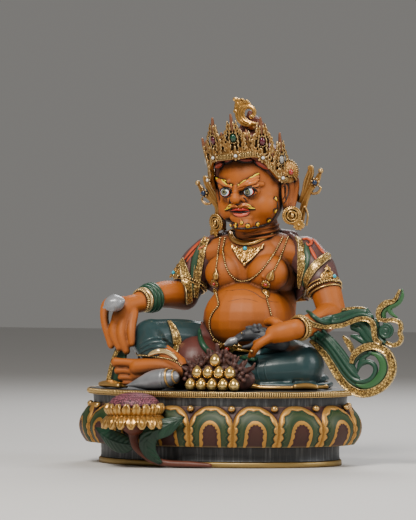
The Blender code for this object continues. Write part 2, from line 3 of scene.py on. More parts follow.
import bmesh
import bpy
import numpy as np
from mathutils import Euler, Matrix, Vector
from mathutils.bvhtree import BVHTree


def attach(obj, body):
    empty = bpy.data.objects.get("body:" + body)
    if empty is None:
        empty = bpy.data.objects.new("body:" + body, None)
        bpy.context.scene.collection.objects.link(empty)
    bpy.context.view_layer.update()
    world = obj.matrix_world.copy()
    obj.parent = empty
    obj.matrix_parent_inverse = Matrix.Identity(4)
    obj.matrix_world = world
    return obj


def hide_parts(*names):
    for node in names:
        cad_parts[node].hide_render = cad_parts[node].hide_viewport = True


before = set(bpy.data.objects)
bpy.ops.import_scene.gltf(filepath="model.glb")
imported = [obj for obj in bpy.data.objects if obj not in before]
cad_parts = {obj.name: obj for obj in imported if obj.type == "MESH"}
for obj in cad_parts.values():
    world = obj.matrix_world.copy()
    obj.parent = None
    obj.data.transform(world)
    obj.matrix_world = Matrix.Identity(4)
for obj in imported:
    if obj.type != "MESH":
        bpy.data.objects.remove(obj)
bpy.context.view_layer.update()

PHOTO_HEIGHT = 520
FILM_WIDTH = 36
LENS_PIXELS = 4545
VIEW_TURN = radians(25)
LENS_DISTANCE = 4.0
LENS_HEIGHT = 0.224
AIM_HEIGHT = 0.179
AIM_SHIFT = -0.0101

view_right = Vector((cos(VIEW_TURN), sin(VIEW_TURN), 0))
view_back = Vector((sin(VIEW_TURN), -cos(VIEW_TURN), 0))
lens_place = view_back * LENS_DISTANCE + Vector((0, 0, LENS_HEIGHT))
aim_place = view_right * AIM_SHIFT + Vector((0, 0, AIM_HEIGHT))
lens = bpy.data.cameras.new("long_lens")
lens.lens = LENS_PIXELS / PHOTO_HEIGHT * FILM_WIDTH
lens.sensor_width = FILM_WIDTH
lens.clip_end = 20
camera = bpy.data.objects.new("long_lens", lens)
camera.location = lens_place
camera.rotation_euler = (aim_place - lens_place).to_track_quat("-Z", "Y").to_euler()
bpy.context.scene.collection.objects.link(camera)
bpy.context.scene.camera = camera
bpy.context.view_layer.update()


def plain_look(name, colour, roughness):
    look = bpy.data.materials.new(name)
    look.use_nodes = True
    shader = look.node_tree.nodes["Principled BSDF"]
    shader.inputs["Base Color"].default_value = (*colour, 1)
    shader.inputs["Roughness"].default_value = roughness
    return look


table = bpy.data.meshes.new("table")
table.from_pydata([(-6, -5, 0), (6, -5, 0), (6, 4, 0), (-6, 4, 0)], [], [(0, 1, 2, 3)])
table_top = bpy.data.objects.new("table", table)
table.materials.append(plain_look("pale table", (0.62, 0.61, 0.6), 0.7))
bpy.context.scene.collection.objects.link(table_top)

backdrop_light = bpy.data.worlds.new("room")
backdrop_light.use_nodes = True
backdrop_light.node_tree.nodes["Background"].inputs["Color"].default_value = (1, 0.97, 0.92, 1)
backdrop_light.node_tree.nodes["Background"].inputs["Strength"].default_value = 0.2
bpy.context.scene.world = backdrop_light


def soft_lamp(name, turn, distance, height, size, power, colour=(1, 1, 1)):
    """A square soft lamp at this turn from the lens, to the right of it where positive."""
    lamp = bpy.data.lights.new(name, "AREA")
    lamp.size = size
    lamp.energy = power
    lamp.color = colour
    thing = bpy.data.objects.new(name, lamp)
    around = VIEW_TURN + radians(turn)
    thing.location = Vector((sin(around), -cos(around), 0)) * distance + Vector((0, 0, height))
    thing.rotation_euler = (Vector((0, 0, 0.15)) - thing.location).to_track_quat("-Z", "Y").to_euler()
    bpy.context.scene.collection.objects.link(thing)


soft_lamp("key_lamp", -22, 1.2, 1.35, 0.6, 34, (1, 0.95, 0.87))
soft_lamp("side_lamp", 70, 1.2, 0.7, 0.6, 8)
soft_lamp("rim_lamp", 165, 1.2, 1.1, 0.8, 14)

# The lotus base, a hollow oval drum beaten from copper sheet: a plain gilt foot, a brushed graphite
# band, a ring of seventeen carved petals, a second band, and a beaded gilt rim around a flat top.
MM = 0.001
BASE_HEIGHT = 66 * MM
RIM_HALF_WIDTH = 123 * MM
RIM_HALF_DEPTH = 80 * MM
FOOT_RIM_HEIGHT = 5 * MM
PETAL_BOTTOM = 18.5 * MM
PETAL_TOP = 54 * MM
BEAD_RIM = 4.6 * MM
FOOT_SHARE = 0.918
BAND_SHARE = 0.9
BULGE_SHARE = 1.045
NECK_SHARE = 0.958
PETAL_COUNT = 17
PETAL_COLUMNS = 40
PETAL_ROWS = 44
PETAL_RELIEF = 3.4 * MM
PETAL_OFFSET = -9.5 * MM
GRAPHITE_GREY = (0.036, 0.038, 0.041)
PETAL_GREEN = (0.004, 0.03, 0.004)
PETAL_RED = (0.035, 0.003, 0.002)
OLD_GOLD = (0.5, 0.25, 0.055)
BRIGHT_GOLD = (1.0, 0.74, 0.32)
# The dark colour of the gilding's hollows: its wash and painted shade.
GOLD_WASH_AND_SHADE = (0.03, 0.009, 0.002)


def oval_point(angle, share, height, out=0.0):
    """A point of the base's oval, moved out square to it."""
    point = Vector((RIM_HALF_WIDTH * share * cos(angle), RIM_HALF_DEPTH * share * sin(angle), height))
    way = Vector((cos(angle) / RIM_HALF_WIDTH, sin(angle) / RIM_HALF_DEPTH, 0))
    return point + way.normalized() * out


def even_angles(count, offset=0.0):
    """Angles that are evenly spaced along the oval's rim, starting the offset past its front."""
    steps = 5760
    angles = -pi / 2 + 2 * pi * np.arange(steps + 1) / steps
    along = np.hypot(RIM_HALF_WIDTH * np.diff(np.cos(angles)), RIM_HALF_DEPTH * np.diff(np.sin(angles)))
    length = np.concatenate([[0], np.cumsum(along)])
    reach = (length[-1] * np.arange(count) / count + offset) % length[-1]
    return np.interp(reach, length, angles)


def hoop(rings, closed=False):
    """A mesh through rings of points; closed joins the last ring to the first, else both are capped."""
    count = len(rings[0])
    faces = []
    pairs = list(zip(range(len(rings)), range(1, len(rings)))) + ([(len(rings) - 1, 0)] if closed else [])
    for low, high in pairs:
        for column in range(count):
            after = (column + 1) % count
            faces.append((
                low * count + column, low * count + after, high * count + after, high * count + column
            ))
    if not closed:
        faces.append(list(range(count - 1, -1, -1)))
        faces.append(list(range((len(rings) - 1) * count, len(rings) * count)))
    mesh = bpy.data.meshes.new("hoop")
    mesh.from_pydata([point for ring in rings for point in ring], [], faces)
    return mesh


def node(tree, kind, inputs=None, **settings):
    made = tree.nodes.new("ShaderNode" + kind)
    for key, value in settings.items():
        setattr(made, key, value)
    for key, value in (inputs or {}).items():
        if isinstance(value, bpy.types.NodeSocket):
            tree.links.new(value, made.inputs[key])
        elif isinstance(value, tuple) and len(value) == 3 and made.inputs[key].type == "RGBA":
            made.inputs[key].default_value = (*value, 1)
        else:
            made.inputs[key].default_value = value
    return made


def new_group(name, takes, gives):
    """A shader group with named sockets; takes and gives are name, kind pairs."""
    group = bpy.data.node_groups.new(name, "ShaderNodeTree")
    for label, kind in takes:
        group.interface.new_socket(label, in_out="INPUT", socket_type="NodeSocket" + kind)
    for label, kind in gives:
        group.interface.new_socket(label, in_out="OUTPUT", socket_type="NodeSocket" + kind)
    return group, group.nodes.new("NodeGroupInput").outputs, group.nodes.new("NodeGroupOutput").inputs


# The copper is primed and painted, then a dark wash is wiped over it, which stays in the hollows,
# and the high edges are rubbed bright. The dark of the hollows is partly painted shade, laid on by
# ambient occlusion in creases and beside neighbouring pieces. Every finish here is that work on its
# own colour.
wash_and_shade, wash_and_shade_in, wash_and_shade_out = new_group(
    "wiped wash and painted shade",
    [("Colour", "Color"), ("Wash", "Color"), ("Rubbed", "Color"), ("Reach", "Float"), ("Depth", "Float"),
     ("Rub", "Float"), ("Drift", "Float")],
    [("Colour", "Color"), ("Hollow", "Float"), ("Height", "Float")],
)
where = node(wash_and_shade, "TexCoord").outputs["Object"]
patches = node(wash_and_shade, "TexNoise", {"Vector": where, "Scale": 85.0, "Detail": 3.0})
grains = node(wash_and_shade, "TexNoise", {"Vector": where, "Scale": 900.0, "Detail": 2.0})
# Painted shade: ambient occlusion darkens creases and the surface beside other pieces.
open_sky = node(wash_and_shade, "AmbientOcclusion", {"Distance": wash_and_shade_in["Reach"]}, samples=6)
shut = node(wash_and_shade, "Math", {0: 1.0, 1: open_sky.outputs["AO"]}, operation="SUBTRACT")
shut = node(wash_and_shade, "Math", {0: shut.outputs[0], 1: wash_and_shade_in["Depth"]}, operation="MULTIPLY")
ragged = node(wash_and_shade, "MapRange", {"Value": patches.outputs["Fac"], "To Min": 0.6, "To Max": 1.4})
shut = node(wash_and_shade, "Math", {0: shut.outputs[0], 1: ragged.outputs[0]}, operation="MULTIPLY", use_clamp=True)
sharp = node(wash_and_shade, "NewGeometry").outputs["Pointiness"]
sharp = node(wash_and_shade, "MapRange", {"Value": sharp, "From Min": 0.5, "From Max": 0.62}).outputs[0]
sharp = node(wash_and_shade, "Math", {0: sharp, 1: wash_and_shade_in["Rub"]}, operation="MULTIPLY", use_clamp=True)
tint = node(wash_and_shade, "Math", {0: patches.outputs["Fac"], 1: 0.5}, operation="SUBTRACT")
tint = node(wash_and_shade, "Math", {0: tint.outputs[0], 1: wash_and_shade_in["Drift"]}, operation="MULTIPLY")
tint = node(wash_and_shade, "Math", {0: tint.outputs[0], 1: 1.0}, operation="ADD")
varied = node(wash_and_shade, "HueSaturation", {"Color": wash_and_shade_in["Colour"], "Value": tint.outputs[0]})
mixed = node(
    wash_and_shade, "Mix", {"Factor": sharp.outputs[0], 6: varied.outputs[0], 7: wash_and_shade_in["Rubbed"]}, data_type="RGBA"
)
mixed = node(
    wash_and_shade, "Mix", {"Factor": shut.outputs[0], 6: mixed.outputs[2], 7: wash_and_shade_in["Wash"]}, data_type="RGBA"
)
wash_and_shade.links.new(mixed.outputs[2], wash_and_shade_out["Colour"])
wash_and_shade.links.new(shut.outputs[0], wash_and_shade_out["Hollow"])
wash_and_shade.links.new(grains.outputs["Fac"], wash_and_shade_out["Height"])

# Long upright brush strokes of a paler colour.
streaks, streaks_in, streaks_out = new_group(
    "upright strokes", [("Colour", "Color"), ("Pale", "Color")], [("Colour", "Color")]
)
where = node(streaks, "TexCoord").outputs["Object"]
tall = node(streaks, "Mapping", {"Vector": where, "Scale": (1, 1, 0.06)})
brush = node(streaks, "TexNoise", {"Vector": tall.outputs[0], "Scale": 420.0, "Detail": 2.0})
brush = node(streaks, "MapRange", {"Value": brush.outputs["Fac"], "From Min": 0.48, "From Max": 0.75})
stroke = node(
    streaks, "Mix", {"Factor": brush.outputs[0], 6: streaks_in["Colour"], 7: streaks_in["Pale"]},
    data_type="RGBA"
)
streaks.links.new(stroke.outputs[2], streaks_out["Colour"])


def use(tree, group, **values):
    """A shader group placed in a finish; a value is a number, a colour or another node's socket."""
    placed = tree.nodes.new("ShaderNodeGroup")
    placed.node_tree = group
    for label, value in values.items():
        socket = placed.inputs[label]
        if isinstance(value, bpy.types.NodeSocket):
            tree.links.new(value, socket)
        else:
            socket.default_value = (*value, 1) if isinstance(value, tuple) else value
    return placed


def finish(name, colour, dark, bright=None, reach=3 * MM, depth=1.3, rub=0.0, drift=0.25,
           rough=0.45, metal=0.0, coat=0.0, bump=0.15, paint=None):
    """A washed finish, with painted shade in its hollows. paint, where given, makes the colour's socket,
    and may give a bump's too.
    """
    look = bpy.data.materials.new(name)
    look.use_nodes = True
    tree = look.node_tree
    shader = tree.nodes["Principled BSDF"]
    shader.inputs["Metallic"].default_value = metal
    shader.inputs["Coat Weight"].default_value = coat
    shader.inputs["Coat Roughness"].default_value = 0.25
    ground, relief = paint(tree) if paint else (colour, None)
    washed_and_shaded = use(tree, wash_and_shade, Colour=ground, Wash=dark, Rubbed=bright or colour, Reach=reach, Depth=depth,
                 Rub=rub, Drift=drift)
    tree.links.new(washed_and_shaded.outputs["Colour"], shader.inputs["Base Color"])
    dull = node(
        tree, "MapRange",
        {"Value": washed_and_shaded.outputs["Hollow"], "To Min": rough, "To Max": min(rough + 0.35, 1)}
    )
    tree.links.new(dull.outputs[0], shader.inputs["Roughness"])
    height = relief or washed_and_shaded.outputs["Height"]
    skin = node(tree, "Bump", {"Height": height, "Strength": bump, "Distance": 0.3 * MM})
    tree.links.new(skin.outputs[0], shader.inputs["Normal"])
    return look


def keep(name, mesh, look, slot, *nodes, sharp=None):
    """A finished piece of the statue: it rides with the statue and stands for the CAD nodes named."""
    mesh.name = name
    thing = bpy.data.objects.new(name, mesh)
    bpy.context.scene.collection.objects.link(thing)
    mesh.materials.clear()
    mesh.materials.append(look)
    mesh.shade_smooth()
    if sharp:
        mesh.set_sharp_from_angle(angle=radians(sharp))
    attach(thing, "root")
    if nodes:
        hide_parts(*nodes)
    return thing


def graphite_paint(tree):
    strokes = use(tree, streaks, Colour=GRAPHITE_GREY, Pale=(0.12, 0.125, 0.13))
    return strokes.outputs["Colour"], None


graphite = finish(
    "brushed graphite paint", GRAPHITE_GREY, (0.006, 0.006, 0.007), rough=0.42, metal=0.35, bump=0.3,
    paint=graphite_paint
)
wall_angles = even_angles(300)
body_rings = []
for height, share, out in (
    (0.4, FOOT_SHARE, -2), (FOOT_RIM_HEIGHT / MM, FOOT_SHARE, -2),
    (FOOT_RIM_HEIGHT / MM + 0.6, BAND_SHARE, 0.6), (7, BAND_SHARE, 0.1), (12, BAND_SHARE, 0),
    (PETAL_BOTTOM / MM, BAND_SHARE, 0.3), (24, BAND_SHARE, 0), (50, NECK_SHARE, -1),
    (PETAL_TOP / MM + 1, NECK_SHARE, -0.2), (58, NECK_SHARE, 0), (61, NECK_SHARE, 0.4), (62, 1.0, -1.4),
    (64.6, 1.0, -1.2), (BASE_HEIGHT / MM, 0.975, 0), (BASE_HEIGHT / MM, 0.9, 0), (BASE_HEIGHT / MM, 0.5, 0)
):
    body_rings.append([oval_point(angle, share, height * MM, out * MM) for angle in wall_angles])
keep("base_body", hoop(body_rings), graphite, "graphite_paint", "lotus_base", sharp=50)

foot_rings = []
for out, height in (
    (-2.4, 0), (-0.4, 0), (0, 0.5), (0, 4.0), (-0.5, 4.8), (-1.2, FOOT_RIM_HEIGHT / MM),
    (-2.6, FOOT_RIM_HEIGHT / MM)
):
    foot_rings.append([oval_point(angle, FOOT_SHARE, height * MM, out * MM) for angle in wall_angles])
dull_gold = finish(
    "dull gilding", (0.3, 0.19, 0.055), (0.04, 0.02, 0.006), BRIGHT_GOLD, rub=0.3, rough=0.42, metal=0.7
)
keep("foot_rim", hoop(foot_rings, closed=True), dull_gold, "gilding", sharp=50)


def petal_field(across, rise):
    """How far a point lies inside the petal, in five steps of paint, and how far it stands out in mm."""
    high = max(0.0, (rise - 0.5) / 0.5)
    turn = atan2(high, abs(across) + 1e-6)
    inside = 1 - hypot(across * (1 - 0.06 * max(0.0, 0.5 - rise)), high)
    lobes = 0.085 * abs(sin(turn * 5)) if rise > 0.5 else 0.085 * abs(sin((0.5 - rise) * 17))
    edge = 0.15 + lobes
    paint = min(0.5 + inside / edge, 2.0) if inside > -edge else 0.0
    height = PETAL_RELIEF / MM * sqrt(max(0.0, min(1.0, inside * 2.2 + 0.05)))
    if 0 < inside < edge:
        height += 0.9 * sin(pi * inside / edge) ** 0.5
    elif edge <= inside < edge + 0.05:
        height -= 0.35
    inner_high = max(0.0, (rise - 0.34) / 0.62)
    inner_turn = atan2(inner_high, abs(across) + 1e-6)
    core = 0.5 - hypot(across * (1 + 0.22 * max(0.0, rise)), inner_high)
    inner_lobes = 0.06 * abs(sin(inner_turn * 7 if rise > 0.34 else (0.34 - rise) * 20))
    if core > -0.06:
        paint = 2.0 + (core + 0.06) / 0.12 if core < 0 else min(2.5 + core / (0.12 + inner_lobes), 4.0)
        if core < 0.12 + inner_lobes:
            swell = sin(pi * max(0.0, core + 0.02) / (0.16 + inner_lobes)) ** 0.6
            height += 0.9 * swell if core > -0.02 else 0
        else:
            height -= 0.25
    return paint, height


def ramp(tree, value, stops):
    """A row of flat colours; each stop is where its colour starts."""
    made = node(tree, "ValToRGB", {"Fac": value})
    made.color_ramp.interpolation = "CONSTANT"
    bar = made.color_ramp.elements
    while len(bar) < len(stops):
        bar.new(0.5)
    for element, (start, colour) in zip(bar, sorted(stops)):
        element.position = start
        element.color = (*colour, 1)
    return made.outputs["Color"]


def petal_paint(tree):
    step = node(tree, "Attribute", attribute_name="petal_step").outputs["Fac"]
    line = (0.02, 0.006, 0.003)
    stops = [
        (0.0, PETAL_RED), (0.1, line), (0.125, OLD_GOLD), (0.37, line), (0.39, PETAL_GREEN), (0.6, line),
        (0.62, OLD_GOLD), (0.865, line), (0.89, PETAL_RED)
    ]
    return ramp(tree, step, stops), None


def petal_gloss(look):
    """The gilt parts of the petals shine as metal, the painted ones don't."""
    tree = look.node_tree
    step = node(tree, "Attribute", attribute_name="petal_step").outputs["Fac"]
    gilt = ramp(
        tree, step,
        [(0.0, (0, 0, 0)), (0.125, (0.8,) * 3), (0.37, (0, 0, 0)), (0.62, (0.8,) * 3), (0.865, (0, 0, 0))]
    )
    tree.links.new(gilt, tree.nodes["Principled BSDF"].inputs["Metallic"])


petal_look = finish(
    "painted and gilt petals", OLD_GOLD, (0.006, 0.003, 0.001), BRIGHT_GOLD, reach=3 * MM, depth=1.9,
    rub=0.35, rough=0.52, drift=0.5, paint=petal_paint
)
petal_gloss(petal_look)
petal_angles = even_angles(PETAL_COUNT * PETAL_COLUMNS, PETAL_OFFSET)
petal_rings, petal_steps = [], []
petal_height = PETAL_TOP - PETAL_BOTTOM
for row in range(PETAL_ROWS + 1):
    rise = row / PETAL_ROWS
    swell = sin(pi * (0.16 + 0.74 * rise) ** 0.9)
    share = BAND_SHARE + 0.02 + (BULGE_SHARE - BAND_SHARE - 0.02) * swell
    ring = []
    for column, angle in enumerate(petal_angles):
        across = 2 * ((column + PETAL_COLUMNS / 2) % PETAL_COLUMNS) / PETAL_COLUMNS - 1
        paint, out = petal_field(across, rise)
        ring.append(oval_point(
            angle, share, PETAL_BOTTOM + petal_height * rise, min(out, 3.5) * MM - 0.6 * MM
        ))
        petal_steps.append(paint / 4)
    petal_rings.append(ring)
count = len(petal_angles)
petal_rings.insert(
    0, [oval_point(angle, BAND_SHARE, PETAL_BOTTOM + 0.5 * MM, -1.5 * MM) for angle in petal_angles]
)
petal_rings.append([
    oval_point(angle, NECK_SHARE, PETAL_TOP - 1.5 * MM, -1.5 * MM)
    for angle in petal_angles
])
petal_steps = [0.0] * count + petal_steps + [0.0] * count
petals = hoop(petal_rings, closed=True)
petals.attributes.new("petal_step", "FLOAT", "POINT").data.foreach_set("value", petal_steps)
keep("petal_ring", petals, petal_look, "green_paint")

BALL_SIDES = 10
BALL_LEVELS = 7


def unit_ball(sides, levels):
    shape = bmesh.new()
    bmesh.ops.create_uvsphere(shape, u_segments=sides, v_segments=levels, radius=1)
    shape.verts.index_update()
    points = np.array([vertex.co[:] for vertex in shape.verts])
    faces = [[vertex.index for vertex in face.verts] for face in shape.faces]
    shape.free()
    return points, faces


small_ball = unit_ball(BALL_SIDES, BALL_LEVELS)
fine_ball = unit_ball(24, 14)


def bead_mesh(centres, radius, stretch=1.0, shape=small_ball):
    """Round beads of this radius in one mesh."""
    points, faces = [], []
    for index, centre in enumerate(centres):
        first = index * len(shape[0])
        points.append(shape[0] * np.array([radius, radius, radius * stretch]) + np.array(centre[:]))
        faces += [[first + corner for corner in face] for face in shape[1]]
    mesh = bpy.data.meshes.new("beads")
    mesh.from_pydata(np.concatenate(points).tolist(), [], faces)
    return mesh


gilding = finish(
    "worn gilding", OLD_GOLD, GOLD_WASH_AND_SHADE, BRIGHT_GOLD, reach=2.2 * MM, depth=1.8, rub=0.9, rough=0.28,
    metal=0.8
)
rim_angles = even_angles(330)
rim_beads = [oval_point(angle, 1.0, BASE_HEIGHT - BEAD_RIM * 0.5, 0.2 * MM) for angle in rim_angles]
keep("rim_beads", bead_mesh(rim_beads, 0.82 * MM, 2.3), gilding, "gilding")
for name, height, size in (("rim_wire_top", 0.4, 0.4), ("rim_wire_bottom", BEAD_RIM / MM, 0.4)):
    wire_rings = []
    for turn in range(8):
        around = 2 * pi * turn / 8
        wire_rings.append([
            oval_point(
                angle, 1.0, BASE_HEIGHT - (height - size * sin(around)) * MM,
                (size * cos(around) - 0.45) * MM
            )
            for angle in wall_angles
        ])
    keep(name, hoop(wire_rings, closed=True), gilding, "gilding")
bud_columns = [
    petal_angles[(index * PETAL_COLUMNS + PETAL_COLUMNS // 2) % count]
    for index in range(PETAL_COUNT)
]
buds = [oval_point(angle, NECK_SHARE + 0.006, PETAL_TOP - 2.5 * MM, 2.2 * MM) for angle in bud_columns]
keep("petal_buds", bead_mesh(buds, 3.1 * MM, 0.9, fine_ball), gilding, "gilding")

# The lotus that rises beside the base's foot: a cast stem and two leaves, painted, under a gilt
# double ring of petals and a domed seed pod, which is punched all over and painted dusty pink.
FLOWER_RADIUS = 29
FLOWER_REACH = 16 * MM
FLOWER_ACROSS = -36.5 * MM
STEM_RADIUS = 3.2
flower_place = Matrix.Translation((FLOWER_ACROSS, -RIM_HALF_DEPTH - FLOWER_REACH, 0)) @ Matrix.Scale(MM, 4)


def smooth_path(points, steps=6):
    """Points, with any further values each has, read from a smooth curve through the ones given."""
    points = [Vector(point) for point in points]
    if len(points) < 3:
        return points
    ends = [points[0] * 2 - points[1], *points, points[-1] * 2 - points[-2]]
    path = []
    for before, start, end, after in zip(ends, ends[1:], ends[2:], ends[3:]):
        for step in range(steps):
            t = step / steps
            bend = (end - before) * t + (before * 2 - start * 5 + end * 4 - after) * t**2
            path.append(start + (bend + (start * 3 - before - end * 3 + after) * t**3) / 2)
    return [*path, points[-1]]


MILLIMETRES = Matrix.Scale(MM, 4)
FROM_METRES = Matrix.Scale(1 / MM, 4)


def turned(nod, tilt=0.0, yaw=0.0):
    return Euler((radians(nod), radians(tilt), radians(yaw))).to_matrix().to_4x4()


class Clay:
    """The loose shapes of one casting, before they are melted into one skin."""

    def __init__(self, place):
        self.place = place
        self.points = []
        self.faces = []

    def add(self, points, faces, place=None):
        first = len(self.points)
        place = self.place @ place if place else self.place
        self.points.extend(place @ Vector(point) for point in points)
        self.faces.extend([first + corner for corner in face] for face in faces)

    def ball(self, centre, radii, nod=0.0, tilt=0.0, yaw=0.0, place=None):
        """A ball, or an egg with its own radii."""
        if isinstance(radii, (int, float)):
            radii = (radii, radii, radii)
        shape = Matrix.Translation(centre) @ turned(nod, tilt, yaw) @ Matrix.Diagonal((*radii, 1))
        self.add(fine_ball[0].tolist(), fine_ball[1], place @ shape if place else shape)

    def tube(self, sections, place=None, sides=16):
        """A closed skin through oval sections, each a centre and two half axes."""
        turns = [2 * pi * side / sides for side in range(sides)]
        points = []
        for centre, across, through in sections:
            points += [centre + across * cos(turn) + through * sin(turn) for turn in turns]
        faces = []
        for ring in range(0, len(points) - sides, sides):
            for side in range(sides):
                after = (side + 1) % sides
                faces.append((ring + side, ring + after, ring + sides + after, ring + sides + side))
        faces.append(list(range(sides - 1, -1, -1)))
        faces.append(list(range(len(points) - sides, len(points))))
        self.add(points, faces, place)

    def limb(self, *stations, place=None, sides=16):
        """A round limb through stations of x, y, z and radius, with round ends."""
        path = smooth_path([Vector(station) for station in stations])
        sections = []
        across = Vector((0.31, 0.17, 0.93))
        for index, point in enumerate(path):
            ahead = (path[min(index + 1, len(path) - 1)] - path[max(index - 1, 0)]).to_3d()
            across = across - ahead * across.dot(ahead) / max(ahead.length_squared, 1e-12)
            across = across.normalized()
            through = ahead.normalized().cross(across)
            sections.append((point.to_3d(), across * point[3], through * point[3]))
        self.tube(sections, place, sides)
        for end in (path[0], path[-1]):
            self.ball(end.to_3d(), end[3], place=place)

    def strap(self, thickness, *stations, place=None):
        """A flat band through stations of x, y, z and the three parts of its half width."""
        path = smooth_path([Vector(station) for station in stations], steps=8)
        sections = []
        for index, point in enumerate(path):
            ahead = path[min(index + 1, len(path) - 1)] - path[max(index - 1, 0)]
            half_width = Vector(point[3:])
            normal = Vector(ahead[:3]).cross(half_width).normalized()
            sections.append((Vector(point[:3]), half_width, normal * thickness / 2))
        self.tube(sections, place)

    def mesh(self):
        mesh = bpy.data.meshes.new("clay")
        mesh.from_pydata(self.points, [], self.faces)
        return mesh

    def melted(self, grain, soften=4, share=0.34):
        """The shapes as one skin on a grid of this grain in mm, smoothed, with a share of its faces kept."""
        thing = bpy.data.objects.new("clay", self.mesh())
        bpy.context.scene.collection.objects.link(thing)
        melt = thing.modifiers.new("melt", "REMESH")
        melt.mode = "VOXEL"
        melt.voxel_size = grain * MM
        soft = thing.modifiers.new("soften", "SMOOTH")
        soft.factor = 0.5
        soft.iterations = soften
        thin = thing.modifiers.new("thin", "DECIMATE")
        thin.ratio = share
        graph = bpy.context.evaluated_depsgraph_get()
        graph.update()
        mesh = bpy.data.meshes.new_from_object(thing.evaluated_get(graph))
        bpy.data.objects.remove(thing)
        return mesh


def pod_paint(tree):
    where = node(tree, "TexCoord").outputs["Object"]
    seeds = node(tree, "TexVoronoi", {"Vector": where, "Scale": 600.0, "Randomness": 0.45})
    tone = node(tree, "MapRange", {"Value": seeds.outputs["Distance"], "From Min": 0.34, "From Max": 0.56})
    mix = node(
        tree, "Mix", {"Factor": tone.outputs[0], 6: (0.3, 0.09, 0.13, 1), 7: (0.045, 0.008, 0.014, 1)},
        data_type="RGBA"
    )
    flip = node(tree, "Math", {0: 1.0, 1: seeds.outputs["Distance"]}, operation="SUBTRACT")
    return mix.outputs[2], flip.outputs[0]


pod_pink = finish(
    "punched pink pod", (0.4, 0.13, 0.2), (0.05, 0.01, 0.02), rough=0.5, bump=0.9, paint=pod_paint
)
pod_outline = [(FLOWER_RADIUS * 0.6, 50)]
for step in range(26):
    lift = pi / 2 * step / 26
    pod_outline.append((FLOWER_RADIUS * 0.76 * cos(lift) ** 0.9, 54 + 11.3 * sin(lift)))
pod_turns = np.linspace(0, 2 * pi, 97)[:-1]
pod_rings = []
for reach, height in pod_outline:
    pod_rings.append([flower_place @ Vector((reach * cos(a), reach * sin(a), height)) for a in pod_turns])
keep("seed_pod", hoop(pod_rings), pod_pink, "pink_paint", "foot_lotus")

flower = Clay(flower_place)
for petal in range(18):
    turn = 360 * petal / 18
    place = turned(0, 0, turn)
    for side in (-1, 1):
        flower.limb(
            (20, side * 1.5, 46.5, 2.2), (23, side * 1.9, 49, 2.3), (24, side * 1.8, 52, 2.1),
            (23.4, side * 1.0, 54.6, 1.6), place=place
        )
        flower.limb(
            (23, side * 3.0, 47.5, 0.5), (25.6, side * 3.1, 50, 0.55), (25.8, side * 2.6, 53, 0.5),
            (25, side * 0.8, 55.6, 0.5), place=place, sides=8
        )
    place = turned(0, 0, turn + 10)
    for side in (-1, 1):
        flower.limb(
            (20, side * 1.5, 45.5, 2.2), (24, side * 2.2, 42, 2.5), (26.2, side * 2.0, 38.3, 2.2),
            (27.2, side * 0.8, 35.6, 1.5), place=place
        )
        flower.limb(
            (24, side * 3.4, 44, 0.5), (27, side * 3.7, 41, 0.6), (28.2, side * 2.6, 37.4, 0.6),
            (28.2, 0, 34.8, 0.6), place=place, sides=8
        )
    flower.limb((25.6, 0, 43.4, 0.6), (28.0, 0, 40.4, 0.75), (28.4, 0, 37.6, 0.6), place=place, sides=8)
flower.ball((0, 0, 45), (22, 22, 8))
flower.limb(*[(21.5 * cos(radians(a)), 21.5 * sin(radians(a)), 47, 1.6) for a in range(0, 361, 20)])
keep("flower_petals", flower.melted(0.5, 1), gilding, "gilding")

bark = finish(
    "red brown bark", (0.1, 0.022, 0.009), (0.012, 0.004, 0.002), (0.26, 0.08, 0.035), rub=0.4, rough=0.5,
    drift=0.8, bump=0.4
)
stem = Clay(flower_place)
stem.ball((0, 0, 40), (21, 21, 5.5))
stem.limb(
    (-1, 2, 40, 12), (-2, 4, 34, 6.5), (-2, 3, 27, 4.4), (1, 2, 18, STEM_RADIUS * 1.1),
    (12, 4, 8.5, STEM_RADIUS), (16, 5, 6.8, STEM_RADIUS)
)
stem.limb(
    (14, 4, 7.4, STEM_RADIUS), (28, 8, STEM_RADIUS + 0.8, STEM_RADIUS),
    (46, 14, STEM_RADIUS, STEM_RADIUS * 0.95), (64, 17, STEM_RADIUS * 0.8, STEM_RADIUS * 0.7)
)
keep("lotus_stem", stem.melted(0.8, 3), bark, "maroon_paint")

LEAF_VEINS = 9


def leaf_mesh(spine, widths, place, fold=0.25, thickness=0.8):
    """A leaf along a spine: its two halves lie on half-width vectors, veined and raised at the edges."""
    path = smooth_path([(*point, *half) for point, half in zip(spine, widths)], steps=10)
    columns = 24
    points, faces = [], []
    for side in (1, -1):
        for index, station in enumerate(path):
            ahead = Vector((path[min(index + 1, len(path) - 1)] - path[max(index - 1, 0)])[:3]).normalized()
            half = Vector(station[3:6])
            normal = ahead.cross(half).normalized()
            for column in range(columns + 1):
                across = 2 * column / columns - 1
                wave = sin(2 * pi * (index / len(path) * LEAF_VEINS + abs(across) * 1.6))
                vein = 0.35 * wave * (1 - abs(across) ** 6)
                lift = fold * half.length * across * across + vein - 0.6 * max(0, 1 - abs(across) * 8)
                base = Vector(station[:3]) + half * across + normal * (lift + side * thickness / 2)
                points.append(place @ base)
    rows = len(path)
    layer = rows * (columns + 1)
    for row in range(rows - 1):
        for column in range(columns):
            a = row * (columns + 1) + column
            b = a + columns + 1
            faces.append((a, a + 1, b + 1, b))
            faces.append((layer + b, layer + b + 1, layer + a + 1, layer + a))
    border = [row * (columns + 1) for row in range(rows)]
    far = [row * (columns + 1) + columns for row in range(rows)]
    for line, flip in (
        (border, True), (far, False), (list(range(columns + 1)), False),
        (list(range(layer - columns - 1, layer)), True)
    ):
        for a, b in zip(line, line[1:]):
            faces.append((a, b, layer + b, layer + a) if flip else (b, a, layer + a, layer + b))
    mesh = bpy.data.meshes.new("leaf")
    mesh.from_pydata(points, [], faces)
    return mesh


leaf_green = finish(
    "leaf green paint", (0.004, 0.032, 0.014), (0.001, 0.007, 0.003), (0.03, 0.11, 0.05), rub=0.6,
    rough=0.38, drift=0.6, bump=0.2
)
